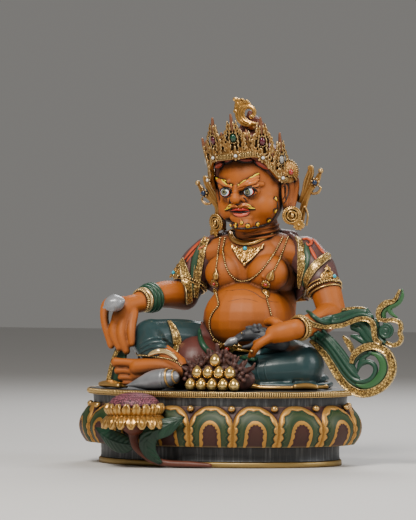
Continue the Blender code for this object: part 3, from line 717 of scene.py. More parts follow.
# Each leaf: the points of its spine, and half its width at each as a way and a length, in mm.
LEAF_SHAPES = (
    ("leaf_right_of_stem",
     [(24, 3, 4), (16, -1, 12), (14, -4, 22), (20, -5, 31), (32, -2, 37), (46, 5, 45)],
     [(1.5, 0, 1), (5, 0, 3), (8.5, 0, 1), (7, 0, -5), (4.5, 0, -6.5), (0.4, 0, -0.4)]),
    ("leaf_left_of_stem",
     [(0, 2, 20), (-10, 3, 20), (-22, 6, 22), (-34, 11, 26), (-46, 18, 33)],
     [(0, 0, 2), (0, 0, 7.5), (0, 0, 9), (0, 0, 7), (0, 0, 0.5)]),
)
for name, spine, widths in LEAF_SHAPES:
    keep(name, leaf_mesh(spine, widths, flower_place), leaf_green, "green_paint")

# The body: a hollow casting of the torso, arms and feet, painted a warm ochre. The hollows under the
# chest and arms turn olive brown, partly the statue's own paint and partly painted shade, and a
# dark wash with painted shade stands in every crease.
SEAT = Matrix.Translation((0, 0, BASE_HEIGHT)) @ MILLIMETRES


def skin_paint(tree):
    """Ochre that turns to olive brown where the body turns in on itself: partly the statue's paint,
    partly painted shade laid on by ambient occlusion.
    """
    where = node(tree, "TexCoord").outputs["Object"]
    veil = node(tree, "TexNoise", {"Vector": where, "Scale": 32.0, "Detail": 2.0})
    # Painted shade: ambient occlusion over 26 mm darkens the ochre under the chest and arms.
    deep = node(tree, "AmbientOcclusion", {"Distance": 26 * MM}, samples=6)
    shade = node(
        tree, "MapRange",
        {"Value": deep.outputs["AO"], "From Min": 0.4, "From Max": 0.97, "To Min": 1.0, "To Max": 0.0}
    )
    soft = node(tree, "MapRange", {"Value": veil.outputs["Fac"], "To Min": 0.7, "To Max": 1.2})
    shade = node(
        tree, "Math", {0: shade.outputs[0], 1: soft.outputs[0]}, operation="MULTIPLY", use_clamp=True
    )
    mix = node(
        tree, "Mix", {"Factor": shade.outputs[0], 6: (0.43, 0.105, 0.003, 1), 7: (0.04, 0.013, 0.002, 1)},
        data_type="RGBA"
    )
    return mix.outputs[2], None


ochre = finish(
    "ochre skin paint", (0.46, 0.112, 0.004), (0.01, 0.003, 0.001), (0.6, 0.2, 0.02), reach=3 * MM,
    depth=2.0, rub=0.12, drift=0.3, rough=0.58, coat=0.0, bump=0.12, paint=skin_paint
)
body = Clay(SEAT)
body.ball((12, 38, 60), (41, 44, 35))
body.ball((12, 52, 74), (37, 29, 34))
body.ball((12, 49, 104), (41, 26, 33))
for side in (-1, 1):
    body.ball((12 + side * 20, 32, 101), (20, 15, 17))
    body.ball((12 + side * 22, 17.4, 98), (1.6, 1.6, 1.6))
body.limb((-34, 51, 117, 15), (12, 54, 122, 18), (58, 51, 117, 15))
body.limb((12, 53, 118, 19), (12, 48, 142, 17.5), (12, 45, 156, 17))
body.limb((60, 51, 116, 14), (80, 43, 94, 14), (92, 36, 68, 12.5))
body.limb((92, 36, 66, 12.5), (91, 8, 58, 11.5), (84, -22, 54, 8.5))
body.limb((-36, 51, 116, 14), (-48, 46, 96, 14), (-52, 38, 80, 12.5))
body.limb((-52, 38, 80, 12.5), (-60, 12, 82, 12), (-69, -17, 77, 8.5))


def left_hand(clay):
    clay.limb((84, -20, 54, 9), (74, -27, 51, 9), (66, -29, 49, 8))
    clay.limb((72, -24, 55, 4.5), (62, -22, 60, 4.2), (54, -16, 59, 3.8))
    clay.limb((66, -33, 48, 4.2), (55, -38, 40, 3.6), (47, -36, 30, 3))
    clay.limb((64, -26, 46, 4.2), (52, -26, 42, 3.8), (42, -18, 40, 3.2))


def right_hand(clay):
    clay.limb((-69, -17, 75, 8.5), (-76, -30, 72, 8.5), (-80, -35, 62, 8))
    clay.limb((-80, -26, 76, 5), (-93, -34, 75, 4.4), (-94, -38, 60, 3.8), (-87, -39, 38, 3.4))
    clay.limb((-82, -36, 64, 5), (-84, -40, 50, 4.3), (-78, -41, 36, 3.4))
    clay.limb((-76, -36, 64, 5), (-76, -41, 48, 4.3), (-71, -41, 33, 3.4))
    clay.limb((-70, -30, 66, 5), (-68, -38, 52, 4.2), (-66, -40, 40, 3.4))


left_hand(body)
right_hand(body)
body_skin = keep("body_skin", body.melted(1.0, 5), ochre, "skin_paint", "figure")

foot = Clay(SEAT)
foot.limb(
    (-36, -40, 31, 9), (-24, -45, 24, 9.5), (-12, -48, 17, 7.5), (-34, -48, 20, 7.8), (-56, -48, 19, 8)
)
foot.limb((-34, -46, 14, 6), (-58, -46, 12, 7))
foot.ball((-56, -47.5, 18), (9, 6, 8))
for reach, height, radius in ((-77, 23.5, 4.3), (-75, 16, 3.4), (-72, 10, 3), (-68, 5.4, 2.6)):
    foot.limb(
        (-58, -49, height - 1, radius), (reach + 6, -50, height, radius * 0.86),
        (reach, -50, height, radius)
    )
bare_foot = keep("bare_foot", foot.melted(0.7, 3), ochre, "skin_paint")

# The head: cast apart and set on the neck, with full cheeks, a broad nose and long ears, in the
# same ochre. Eyes, brows, lips and beard are raised in the casting and painted in bright colours.
HEAD = SEAT @ Matrix.Translation((12, 42, 172)) @ turned(8, -5)


def band_point(degrees, inset=0.0, lift=0.0):
    """A point of the crown's band, which arches over the forehead and drops towards the ears."""
    turn = radians(degrees)
    rise = min(max((78 - abs(degrees)) / 48, 0), 1)
    height = 9 + 28 * rise * rise * (3 - 2 * rise)
    reach = 34.5 + 1.5 * rise - inset
    return Vector((reach * sin(turn), 4 - reach * cos(turn), height + lift))


def head_form():
    clay = Clay(HEAD)
    clay.ball((0, 4, 13), (30.5, 32, 34))
    clay.ball((0, -2, -8), (28, 27.5, 25))
    clay.ball((0, 1, 2), (29.4, 28.6, 28))
    clay.ball((0, -17, -24), (13, 10, 9))
    for side in (-1, 1):
        clay.ball((side * 15, -12, -10), (13, 13, 13))
        clay.ball((side * 12.5, -23.5, 4), (7, 4, 4.8))
    clay.limb((0, 6, -40, 18.5), (0, 2, -28, 18.5), (0, 0, -20, 19))
    return clay


smooth_head = head_form().melted(1.2, 16, 1)
head_points = [vertex.co.copy() for vertex in smooth_head.vertices]
head_faces = [list(face.vertices) for face in smooth_head.polygons]
head_ground = BVHTree.FromPolygons(head_points, head_faces)
PHOTO_WIDTH = 416


def pixel_ray(across, down):
    """The direction in which the lens sees a pixel of the photograph."""
    ahead = Vector(((across - PHOTO_WIDTH / 2) / LENS_PIXELS, (PHOTO_HEIGHT / 2 - down) / LENS_PIXELS, -1))
    return (camera.matrix_world.to_3x3() @ ahead).normalized()


def seen(surface, across, down):
    """The point of a surface at a pixel of the photograph, and the way that the surface faces there."""
    ray = pixel_ray(across, down)
    point, facing = surface.ray_cast(lens_place, ray)[:2]
    if point is None:
        point, facing = surface.find_nearest(lens_place + ray * LENS_DISTANCE)[:2]
    return point, facing


def skin_of(*things):
    """The surface of finished pieces, to lay other pieces on."""
    points, faces = [], []
    for thing in things:
        first = len(points)
        points += [vertex.co.copy() for vertex in thing.data.vertices]
        faces += [[first + corner for corner in face.vertices] for face in thing.data.polygons]
    return BVHTree.FromPolygons(points, faces)


def laid(ground, pixels, lift=0.0, steps=6):
    """Points on a surface along a smooth line through pixels of the photograph, lifted off it in mm.

    Each pixel may carry a further value, such as a radius in mm, which its point keeps."""
    found = []
    for pixel in smooth_path([Vector(pixel) for pixel in pixels], steps):
        point, facing = seen(ground, pixel[0], pixel[1])
        point = point + facing * lift * MM
        found.append(Vector((*point, *list(pixel)[2:])))
    return found


def world_limb(clay, stations, sides=12):
    """A limb through points in metres that carry a radius in mm."""
    back = clay.place.inverted()
    path = []
    for station in stations:
        point = back @ station.to_3d()
        path.append((*point, station[3]))
    clay.limb(*path, sides=sides)


def lined(name, ground, lines, look, slot, lift=0.0, grain=0.35, *nodes):
    """Raised lines modelled on a surface, each a row of pixels with a radius in mm, melted together."""
    clay = Clay(MILLIMETRES)
    for line in lines:
        world_limb(clay, laid(ground, line, lift, 3))
    return keep(name, clay.melted(grain, 2), look, slot, *nodes)


def feature_frame(ground, across, down, roll=0.0):
    """A frame in mm on a surface at a pixel: X to the photograph's right, Y into the surface, Z up."""
    point, facing = seen(ground, across, down)
    side = Vector((0, 0, 1)).cross(-facing).normalized()
    side = -side if side.dot(view_right) < 0 else side
    upward = side.cross(-facing).normalized()
    frame_axes = Matrix((side, -facing, upward)).transposed().to_4x4()
    return Matrix.Translation(point) @ frame_axes @ turned(0, roll) @ MILLIMETRES


EYES = ((225.6, 192.4, 4.6, 3.9, 8), (249.3, 191.6, 5.3, 3.8, -6))
head = Clay(HEAD)
into_head = HEAD.inverted()
head.add(head_points, head_faces, into_head)


def head_pen(*stations):
    """A limb on the rough head through pixels with a radius in mm and a lift off the surface."""
    path = []
    for across, down, radius, lift in stations:
        point, facing = seen(head_ground, across, down)
        path.append((*(into_head @ (point + facing * lift * MM)), radius))
    head.limb(*path)


# Strokes of clay for the nose, its wings, the lips, the chin and the brows.
FACE_STROKES = (
    ((236.3, 187, 3.2, 0), (236.6, 192, 3.6, 1.2), (237.2, 197, 4.6, 3)),
    ((237.3, 199.5, 5.0, 3.4),),
    ((231.6, 199.3, 3.0, 1.4), (230.8, 200.5, 2.6, 1.0)),
    ((244, 198.4, 3.4, 1.2), (245.4, 199.8, 2.8, 0.8)),
    ((232, 206, 3, -0.4), (240, 205.4, 3.4, -0.2), (248, 205.8, 3, -0.6)),
    ((233, 218, 3.4, -0.8), (241, 219.6, 4.2, -0.4), (249, 218, 3.4, -1.0)),
    ((236, 224, 5.5, -1), (241.5, 225, 6, 0), (247.5, 223.5, 5.5, -1)),
    ((214.5, 184, 2.6, -0.4), (222, 185.4, 3.2, 0.8), (231.5, 188.6, 2.6, 0.4)),
    ((240, 188.4, 2.6, 0.4), (250, 184.6, 3.6, 0.6), (262, 184, 2.8, -0.6)),
)
for stroke in FACE_STROKES:
    head_pen(*stroke)
for across, down, wide, high, roll in EYES:
    lid_place = into_head @ feature_frame(head_ground, across, down, roll)
    for rise, radius in ((1, 1.3), (-1, 1.0)):
        lid = []
        for step in range(-4, 5):
            part = step / 4
            bow = 1.0 - 1.7 * (1 - part * part)
            arch = rise * (high + 0.7) * sqrt(max(0, 1 - (part * 0.97) ** 2))
            lid.append((part * (wide + 1.0), bow, arch, radius))
        head.limb(*lid, place=lid_place)
for side in (-1, 1):
    rim = [
        (30, 2, -18, 2.6), (31, -3, -8, 1.6), (31.5, -2, 4, 1.6), (33, 0, 12, 2.2), (36, 6, 15, 2.2),
        (38.5, 12, 11, 2.4), (38.5, 13, 1, 2.4), (36.5, 10, -9, 2.4), (34.5, 5, -17, 2.8),
        (33, 2, -24, 3.2), (32.5, 1, -27, 2.8)
    ]
    head.limb(*[(side * x, y, z, r) for x, y, z, r in rim])
    head.limb(*[
        (side * x, y, z, 1.3)
        for x, y, z in ((34.5, 3.5, 9), (36, 7.5, 8), (36.6, 9.5, 1), (35.3, 7.5, -8), (34, 4, -12))
    ])
    head.limb(*[
        (side * x, y, z, r)
        for x, y, z, r in ((30, 0, 10, 2.6), (31, 3, 2, 3.2), (31, 2, -8, 3), (31, 1, -18, 2.6))
    ])
    head.limb(*[
        (side * x, y, z, r)
        for x, y, z, r in ((33, 5, 10, 2.2), (34, 8, 2, 2.6), (33, 6, -8, 2.6), (32, 3, -18, 2.4))
    ])
    head.limb(*[
        (side * x, y, z, r)
        for x, y, z, r in ((34.6, 8, 8, 1.8), (35, 8.4, 0, 2.0), (34, 7, -9, 2.0))
    ])
for height, reach in ((-31, 18.3), (-35, 18.4), (-39, 18.6)):
    crease = [radians(turn) for turn in range(-110, 111, 20)]
    head.limb(*[(reach * sin(a), 3 - reach * cos(a), height, 1.3) for a in crease])
head_skin = keep("head_skin", head.melted(0.55, 5), ochre, "skin_paint")
face = skin_of(head_skin)


def ringed_mesh(place, radii, rule, name, turns=40, levels=24):
    """The front half and more of an egg, with a value from a rule of each point's place on it."""
    points, values = [], []
    shape = unit_ball(turns, levels)
    for x, y, z in shape[0].tolist():
        local = Vector((x * radii[0], z * radii[1], y * radii[2]))
        points.append(place @ local)
        values.append(rule(local))
    mesh = bpy.data.meshes.new(name)
    mesh.from_pydata(points, [], [face[::-1] for face in shape[1]])
    mesh.attributes.new(name, "FLOAT", "POINT").data.foreach_set("value", values)
    return mesh


def eye_paint(tree):
    ring = node(tree, "Attribute", attribute_name="eye_ring").outputs["Fac"]
    stops = [
        (0.0, (0.004, 0.004, 0.004)), (0.1, (0.16, 0.15, 0.07)), (0.2, (0.07, 0.1, 0.09)),
        (0.26, (0.005, 0.008, 0.01)), (0.3, (0.62, 0.8, 0.9)), (0.42, (0.9, 0.93, 0.95)),
        (0.6, (0.75, 0.05, 0.02)), (0.76, (0.01, 0.003, 0.002))
    ]
    return ramp(tree, ring, stops), None


eye_look = finish(
    "painted eye", (0.9, 0.9, 0.9), (0.02, 0.004, 0.003), reach=0.8 * MM, depth=0.7, rough=0.12, coat=0.6,
    drift=0.05, bump=0.0, paint=eye_paint
)
for label, (across, down, wide, high, roll) in zip(("right", "left"), EYES):
    def eye_rule(local, wide=wide, high=high):
        rim = hypot(local.x / wide, local.z / high)
        iris = hypot(local.x + 0.3, local.z) / 10
        return 0.5 + (rim - 0.8) * 1.6 if rim > 0.8 else min(iris, 0.5)
    place = feature_frame(head_ground, across, down, roll)
    keep(
        "eye_" + label, ringed_mesh(place, (wide * 1.06, 2.9, high * 1.06), eye_rule, "eye_ring"), eye_look,
        "skin_paint"
    )

brow_orange = finish(
    "brow orange", (0.55, 0.14, 0.02), (0.02, 0.006, 0.003), (0.85, 0.4, 0.06), reach=1.2 * MM, depth=1.5,
    rub=0.3, rough=0.4
)
flame_yellow = finish(
    "flame yellow", (0.85, 0.6, 0.01), (0.2, 0.06, 0.004), (0.95, 0.8, 0.1), reach=0.8 * MM, depth=1.0,
    rub=0.4, rough=0.35
)
# Dark painted outlines; the same dark paint also lays the painted shade under the jaw.
ink_and_shade = finish("dark outline and painted shade", (0.014, 0.006, 0.004), (0.004, 0.002, 0.002), rough=0.4)
BROW_LINES = [
    [(232.2, 187.4, 0.9), (227, 185.2, 1.7), (220.5, 181.6, 2.1), (214.6, 177.6, 1.3)],
    [(238.4, 187.4, 0.9), (243.5, 184.6, 1.9), (251, 180.6, 2.5), (257.6, 176.4, 1.6)],
    [(247, 184.6, 1.4), (253.5, 182.6, 1.8), (258, 179.8, 1.2)],
    [(252.5, 186.6, 0.7), (256.5, 185.8, 1.1), (258.6, 184.4, 0.8)],
]
lined("brows", face, BROW_LINES, brow_orange, "skin_paint", 0.2)
BROW_FLAMES = [
    [(227.4, 183.9, 0.6), (223.5, 181.6, 0.75), (221, 180, 0.5)],
    [(221.6, 181, 0.6), (217.6, 178, 0.8), (215.4, 176.4, 0.5)], [(216, 177.6, 0.6), (213.8, 175.6, 0.6)],
    [(231.3, 186.2, 0.95)], [(241.4, 184.6, 0.6), (245, 181.8, 0.8), (247.4, 180.4, 0.5)],
    [(246.8, 181, 0.6), (250.6, 178, 0.85), (252.8, 176.8, 0.5)],
    [(252, 177.6, 0.7), (255.6, 175, 0.9), (258.4, 173.6, 0.6)], [(238.6, 185.9, 0.95)]
]
lined("brow_flames", face, BROW_FLAMES, flame_yellow, "gilding", 1.2)
EYE_OUTLINES = [
    [(219.4, 191, 0.5), (222, 188.7, 0.8), (226, 187.9, 0.85), (230, 189.5, 0.8), (232.4, 193.2, 0.5)],
    [(220, 193.8, 0.4), (223, 196.6, 0.55), (227, 197.4, 0.55), (231.4, 195.8, 0.4)],
    [(242.4, 192.8, 0.5), (245, 188.7, 0.8), (250, 187.2, 0.85), (254.8, 189, 0.8), (257.2, 192, 0.5)],
    [(243.2, 194.2, 0.4), (247, 196.5, 0.55), (251.6, 196.3, 0.55), (256, 193.8, 0.4)],
]
lined("eye_outlines", face, EYE_OUTLINES, ink_and_shade, "dark_grey_paint", 0.1, 0.3)
EAR_LINES = (
    [
        (280.4, 186.6, 0.5), (281.6, 183.4, 0.6), (285, 181.6, 0.6), (288, 184.6, 0.6), (288.4, 191, 0.6),
        (286.8, 198.4, 0.6), (284, 203.4, 0.5)
    ],
    [(283, 187, 0.4), (284.8, 185.6, 0.5), (285.6, 189, 0.5), (284.8, 195, 0.5), (283, 199.6, 0.4)]
)
lined("ear_lines", face, EAR_LINES, ink_and_shade, "dark_grey_paint", -0.1, 0.3)

lip_red = finish("lip red", (0.5, 0.035, 0.02), (0.05, 0.004, 0.003), rough=0.3, reach=1 * MM, coat=0.3)
lip_rose = finish("lip rose", (0.75, 0.13, 0.07), (0.1, 0.01, 0.005), rough=0.28, reach=1 * MM, coat=0.3)
UPPER_LIP = [[
    (231.6, 210.8, 0.6), (235, 209.2, 1.2), (238.6, 208.9, 1.4), (240.6, 209.4, 1.3), (243, 208.8, 1.4),
    (246, 209.4, 1.1), (249, 210.4, 0.6)
]]
lined("upper_lip", face, UPPER_LIP, lip_red, "red_paint", 0.4)
LOWER_LIP = [[
    (233.6, 213, 0.7), (237, 214.4, 1.8), (241.5, 214.9, 2.2), (246, 213.9, 1.7), (249, 212.3, 0.7)
]]
lined("lower_lip", face, LOWER_LIP, lip_rose, "red_paint", 0.2)
MOUTH_LINE = [[
    (231, 211.2, 0.35), (236, 211.6, 0.5), (241, 212, 0.55), (246, 211.3, 0.5), (250, 210.8, 0.35)
]]
lined("mouth_line", face, MOUTH_LINE, ink_and_shade, "dark_grey_paint", 1.5, 0.3)
MOUSTACHE_LINES = [
    [(231.4, 206.8, 0.4), (228.8, 208.2, 0.7), (225.6, 209.6, 0.45)],
    [(232.6, 205.2, 0.4), (229.8, 205.6, 0.6), (227.6, 207.2, 0.35)],
    [(248.4, 207.2, 0.4), (251.4, 207.9, 0.7), (254.8, 208.2, 0.4)],
    [(246.4, 205, 0.4), (248.8, 205.2, 0.6), (250.8, 206.8, 0.35)]
]
lined("moustache", face, MOUSTACHE_LINES, flame_yellow, "gilding", 0.9)
NOSTRIL_LINES = [
    [(229.4, 199, 0.4), (230, 202, 0.6), (232.4, 204, 0.5)],
    [(243.4, 197.8, 0.5), (245.8, 199.4, 0.6), (246, 202, 0.5)],
    [(236.4, 203.8, 0.4), (238.4, 204.6, 0.5), (240.4, 203.8, 0.4)]
]
lined("nostrils", face, NOSTRIL_LINES, ink_and_shade, "dark_grey_paint", 0.0, 0.3)
MOUSTACHE_EDGES = [
    [(225, 210.8, 0.35), (228.6, 210, 0.5), (231.6, 208.4, 0.4)],
    [(248.8, 209.2, 0.4), (252, 209.8, 0.5), (255.4, 209.6, 0.35)]
]
lined("moustache_edges", face, MOUSTACHE_EDGES, ink_and_shade, "dark_grey_paint", 0.2, 0.3)
MOUSTACHE_ROOTS = [
    [(237.4, 206.6, 0.7), (234, 206, 0.95), (230.4, 206.8, 0.8), (227, 208.8, 0.5)],
    [(236, 204.8, 0.5), (232.8, 204.2, 0.7), (229.6, 205.2, 0.5)],
    [(241, 206.2, 0.7), (244.6, 205.2, 0.95), (248.4, 206.4, 0.8), (252.4, 207.8, 0.5)],
    [(242, 204.4, 0.5), (245.4, 203.6, 0.7), (248.8, 204.8, 0.5)],
    [(240.8, 219, 0.4), (241.2, 221, 0.7), (241.2, 223, 0.6)],
]
lined("moustache_roots", face, MOUSTACHE_ROOTS, brow_orange, "skin_paint", 0.5)

BEARD = (
    (226.6, 222, 1.3), (231.2, 225.2, 1.5), (235.8, 226.4, 1.4), (241.6, 223, 1.5), (247.8, 225.8, 2.0),
    (257.6, 224.2, 1.8), (268.8, 220.2, 1.9), (275.2, 211, 1.9), (275.6, 199, 1.9)
)


def drop_paint(tree):
    ring = node(tree, "Attribute", attribute_name="drop_ring").outputs["Fac"]
    return ramp(
        tree, ring,
        [
            (0.0, (0.25, 0.02, 0.005)), (0.3, (0.5, 0.1, 0.01)), (0.42, (0.9, 0.56, 0.01)),
            (0.9, (0.05, 0.012, 0.002))
        ]
    ), None


drop_look = finish(
    "beard drops", (0.9, 0.6, 0.02), (0.03, 0.01, 0.003), reach=0.8 * MM, depth=1.0, rough=0.3,
    paint=drop_paint
)
for index, (across, down, size) in enumerate(BEARD):
    place = feature_frame(face, across, down)
    ring = lambda local, size=size: min(1.0, hypot(local.x, local.z) / (size * 1.05))
    mesh = ringed_mesh(place, (size, 1.5, size * 1.15), ring, "drop_ring", 24, 14)
    keep(f"beard_drop_{index}", mesh, drop_look, "gilding")
# Painted shade: a dark band along the jaw below the beard drops, where shade falls under the jaw.
UNDER_JAW_SHADE_LINE = [(225.5, 219, 0.6), (229, 224.6, 0.9), (236, 228.2, 1.0), (248, 228.4, 1.1), (258, 226.8, 1.2),
              (269, 222.8, 1.2), (276.4, 213, 1.1), (277.2, 203, 0.8)]
beard_edges = []
for across, down, size in BEARD:
    beard_edges.append([
        (across - size * 1.1, down + 0.4, 0.5), (across - size * 0.7, down - size, 0.5),
        (across + size * 0.7, down - size, 0.5), (across + size * 1.1, down + 0.4, 0.5),
    ])
lined("beard_edges", face, [*beard_edges, UNDER_JAW_SHADE_LINE], ink_and_shade, "dark_grey_paint", 0.0, 0.3)

# The hair: a cap with a tall bun, part of the head's casting, painted a dark wine red. Along the
# brow a row of red lobes with dark edges peeps out below the crown.
def strand_paint(tree):
    where = node(tree, "TexCoord").outputs["Object"]
    tall = node(tree, "Mapping", {"Vector": where, "Scale": (1, 1, 0.1)})
    hair = node(tree, "TexNoise", {"Vector": tall.outputs[0], "Scale": 520.0, "Detail": 2.0})
    mix = node(
        tree, "Mix", {"Factor": hair.outputs["Fac"], 6: (0.05, 0.009, 0.006, 1), 7: (0.22, 0.05, 0.024, 1)},
        data_type="RGBA"
    )
    return mix.outputs[2], hair.outputs["Fac"]


wine_hair = finish(
    "wine red hair", (0.12, 0.02, 0.012), (0.012, 0.003, 0.002), rub=0.3, rough=0.5, bump=0.6,
    paint=strand_paint
)
hair = Clay(HEAD)
hair.limb(*[(*band_point(turn, 6.2, 0.6), 4.4) for turn in range(-45, 46, 15)])
for start in (45, -180):
    hair.limb(*[(*band_point(turn, 7.0, 1.2), 4.0) for turn in range(start, start + 136, 15)])
hair.limb(*[(*band_point(turn, 6.6, 9.0), 5.0) for turn in range(105, 256, 15)])
hair.ball((0, 8, 22), (30.5, 27, 26))
hair.ball((0, 13, 4), (28.5, 24.5, 33))
hair.ball((2, 13, 38), (17, 17, 22))
hair.limb((2, 15, 50, 12), (2, 16, 58, 10.5), (2, 16, 64, 7), (2, 16, 69, 3))
hair.limb(*[(2 + 15.5 * cos(radians(a)), 13 + 15.5 * sin(radians(a)), 42, 2.4) for a in range(0, 361, 20)])
for strand in range(14):
    around = radians(strand * 360 / 14)
    out = Vector((cos(around), sin(around)))
    hair.limb(
        (2 + 14.6 * out.x, 14 + 14.6 * out.y, 44, 2.6), (2 + 11 * out.x, 15 + 11 * out.y, 54, 2.2),
        (2 + 6.5 * out.x, 16 + 6.5 * out.y, 63, 1.6), (2, 16, 69, 1.2)
    )
hair_piece = keep("hair", hair.melted(0.7, 3), wine_hair, "maroon_paint")
brow_ground = skin_of(head_skin, hair_piece)
lobe_red = finish(
    "hairline red", (0.36, 0.05, 0.025), (0.02, 0.004, 0.003), (0.6, 0.16, 0.09), rub=0.3, rough=0.35
)
lobes = Clay(MILLIMETRES)
rims = Clay(MILLIMETRES)
# Each lobe: its pixel, half its width in mm and its slope in degrees.
LOBES = ((219.2, 165.4, 4.6, -48), (229, 160.9, 5.6, -14), (245.4, 160.4, 7.4, 4), (262.6, 165.4, 8, 34),
         (274, 174.2, 6.4, 56))
for across, down, half, slope in LOBES:
    place = feature_frame(brow_ground, across, down, slope)
    shape = Matrix.Translation((0, -0.6, 0.6)) @ Matrix.Diagonal((half * 0.92, 1.7, 2.6, 1))
    lobes.add(fine_ball[0].tolist(), fine_ball[1], FROM_METRES @ place @ shape)
    edge = []
    for turn in range(-85, 86, 17):
        around = radians(turn)
        edge.append(Vector((half * sin(around), -0.9, 0.6 - 2.7 * cos(around))))
    rims.limb(*[(*(place @ point / MM), 0.6) for point in edge])
keep("hairline_lobes", lobes.melted(0.4, 2), lobe_red, "red_paint")
keep("hairline_edges", rims.melted(0.35, 2), ink_and_shade, "dark_grey_paint")

# The lower robe: heavy cloth wrapped round the folded legs and lap, cast with the seat and painted
# a dark blue green, with a maroon lining between the knees and a gilt hem that lies on the base.
robe_teal = finish(
    "dark teal paint", (0.016, 0.046, 0.05), (0.002, 0.006, 0.007), (0.06, 0.12, 0.125), reach=3 * MM,
    depth=1.2, rub=0.35, rough=0.36, drift=0.45, coat=0.15
)
maroon = finish(
    "maroon paint", (0.1, 0.026, 0.02), (0.014, 0.004, 0.003), (0.2, 0.07, 0.05), rub=0.3, rough=0.45,
    drift=0.5
)
robe = Clay(SEAT)
robe.ball((12, 46, 24), (47, 36, 27))
robe.limb((28, 46, 24, 24), (56, 24, 22, 22), (78, 4, 20, 19.5))
robe.limb((78, 2, 18, 18.5), (50, -14, 16, 16), (18, -22, 13, 11))
robe.limb((-6, 46, 26, 24), (-36, 12, 40, 20), (-58, -18, 44, 17))
robe.limb((-58, -20, 42, 17), (-49, -34, 35, 13), (-38, -41, 32, 9.5))
robe.ball((14, 34, 8), (74, 48, 13))
robe.ball((10, -6, 6), (60, 28, 10))
for rise in (0, 5, 10):
    robe.limb(
        (-64, -30, 27 + rise, 1.8), (-54, -43 + rise, 37 + rise, 2.1), (-40, -46 + rise, 33 + rise, 2)
    )
for rise in (0, 6):
    robe.limb(
        (40, -25, 26 + rise * 0.5, 1.6), (58, -22 + rise, 14 + rise, 1.8), (76, -17 + rise, 8 + rise, 1.4)
    )
robe.limb((52, -27, 4, 2.5), (82, -16, 4, 2.5), (98, 6, 4, 2.5), (92, 34, 4, 2.5))
for edge, height in ((-1, 4), (1, 3)):
    robe.limb((12 + edge * 66, 44, height, 4), (12 + edge * 50, 76, height, 4), (12, 84, height, 4))
for fold in range(9):
    around = radians(20 + fold * 17.5)
    reach = Vector((cos(around), sin(around)))
    robe.limb(
        (12 + 40 * reach.x, 40 + 26 * reach.y, 34, 1.4), (12 + 56 * reach.x, 38 + 36 * reach.y, 18, 2),
        (12 + 68 * reach.x, 36 + 44 * reach.y, 6, 2.4)
    )
robe_piece = keep("lower_robe", robe.melted(1.0, 5), robe_teal, "robe_paint")
lining = Clay(SEAT)
lining.ball((-22, 0, 22), (24, 26, 24))
lining.ball((-12, -18, 10), (20, 16, 12))
lining.limb((-2, 44, 27, 24.8), (-14, 31, 31, 23.4), (-26, 20, 36, 22.2))
lining_piece = keep("robe_lining", lining.melted(1.2, 4), maroon, "maroon_paint")

# The gilt hems, cuffs and borders: strips of copper, punched all over with a worm-like ground and
# gilt, bent to the cloth and soldered on. The wash leaves the ground dark red brown.
PUNCH_PITCH = 2.5 * MM
worms, worms_in, worms_out = new_group(
    "punched ground", [("Pitch", "Float"), ("Share", "Float")], [("Mask", "Float"), ("Height", "Float")]
)
where = node(worms, "TexCoord").outputs["Object"]
per_metre = node(worms, "Math", {0: 1.0, 1: worms_in["Pitch"]}, operation="DIVIDE").outputs[0]
bend = node(worms, "TexNoise", {"Vector": where, "Scale": per_metre, "Detail": 1.0})
bent = node(worms, "VectorMath", {0: bend.outputs["Color"], 1: worms_in["Pitch"]}, operation="MULTIPLY")
bent = node(worms, "VectorMath", {0: where, 1: bent.outputs[0]}, operation="ADD")
cells = node(
    worms, "TexVoronoi", {"Vector": bent.outputs[0], "Scale": per_metre}, feature="DISTANCE_TO_EDGE"
)
punched = node(
    worms, "MapRange", {"Value": cells.outputs["Distance"], "From Min": 0.0, "From Max": worms_in["Share"]}
)
punched.inputs["To Min"].default_value = 1.0
punched.inputs["To Max"].default_value = 0.0
worms.links.new(punched.outputs[0], worms_out["Mask"])
worms.links.new(cells.outputs["Distance"], worms_out["Height"])


def punched_paint(tree):
    ground = use(tree, worms, Pitch=PUNCH_PITCH, Share=0.24)
    mix = node(
        tree, "Mix",
        {"Factor": ground.outputs["Mask"], 6: (0.86, 0.56, 0.17, 1), 7: (0.035, 0.008, 0.002, 1)},
        data_type="RGBA"
    )
    return mix.outputs[2], ground.outputs["Height"]


punched_gold = finish(
    "punched gilding", (0.75, 0.48, 0.15), GOLD_WASH_AND_SHADE, (1.0, 0.85, 0.5), reach=2 * MM, depth=1.1, rub=0.4,
    rough=0.28, metal=0.6, bump=0.9, paint=punched_paint
)


def ribbon_mesh(stations, outline, closed=False):
    """A strip swept along stations of a point, the way it faces and its half width, all in metres.

    The outline's points are across, from -1 to 1, and the height off the ground in mm."""
    count = len(stations)
    points = []
    for index, (point, facing, half) in enumerate(stations):
        before = stations[(index - 1) % count if closed else max(index - 1, 0)][0]
        after = stations[(index + 1) % count if closed else min(index + 1, count - 1)][0]
        ahead = (after - before).normalized()
        side = ahead.cross(facing).normalized()
        upward = side.cross(ahead).normalized()
        for across, height in outline:
            points.append(point + side * half * across + upward * height * MM)
    sides = len(outline)
    faces = []
    for ring in range(count if closed else count - 1):
        following = (ring + 1) % count
        for side in range(sides):
            after = (side + 1) % sides
            faces.append((
                ring * sides + side, ring * sides + after, following * sides + after,
                following * sides + side
            ))
    if not closed:
        faces.append(list(range(sides - 1, -1, -1)))
        faces.append(list(range((count - 1) * sides, count * sides)))
    mesh = bpy.data.meshes.new("ribbon")
    mesh.from_pydata(points, [], faces)
    shape = bmesh.new()
    shape.from_mesh(mesh)
    bmesh.ops.recalc_face_normals(shape, faces=shape.faces)
    shape.to_mesh(mesh)
    shape.free()
    return mesh


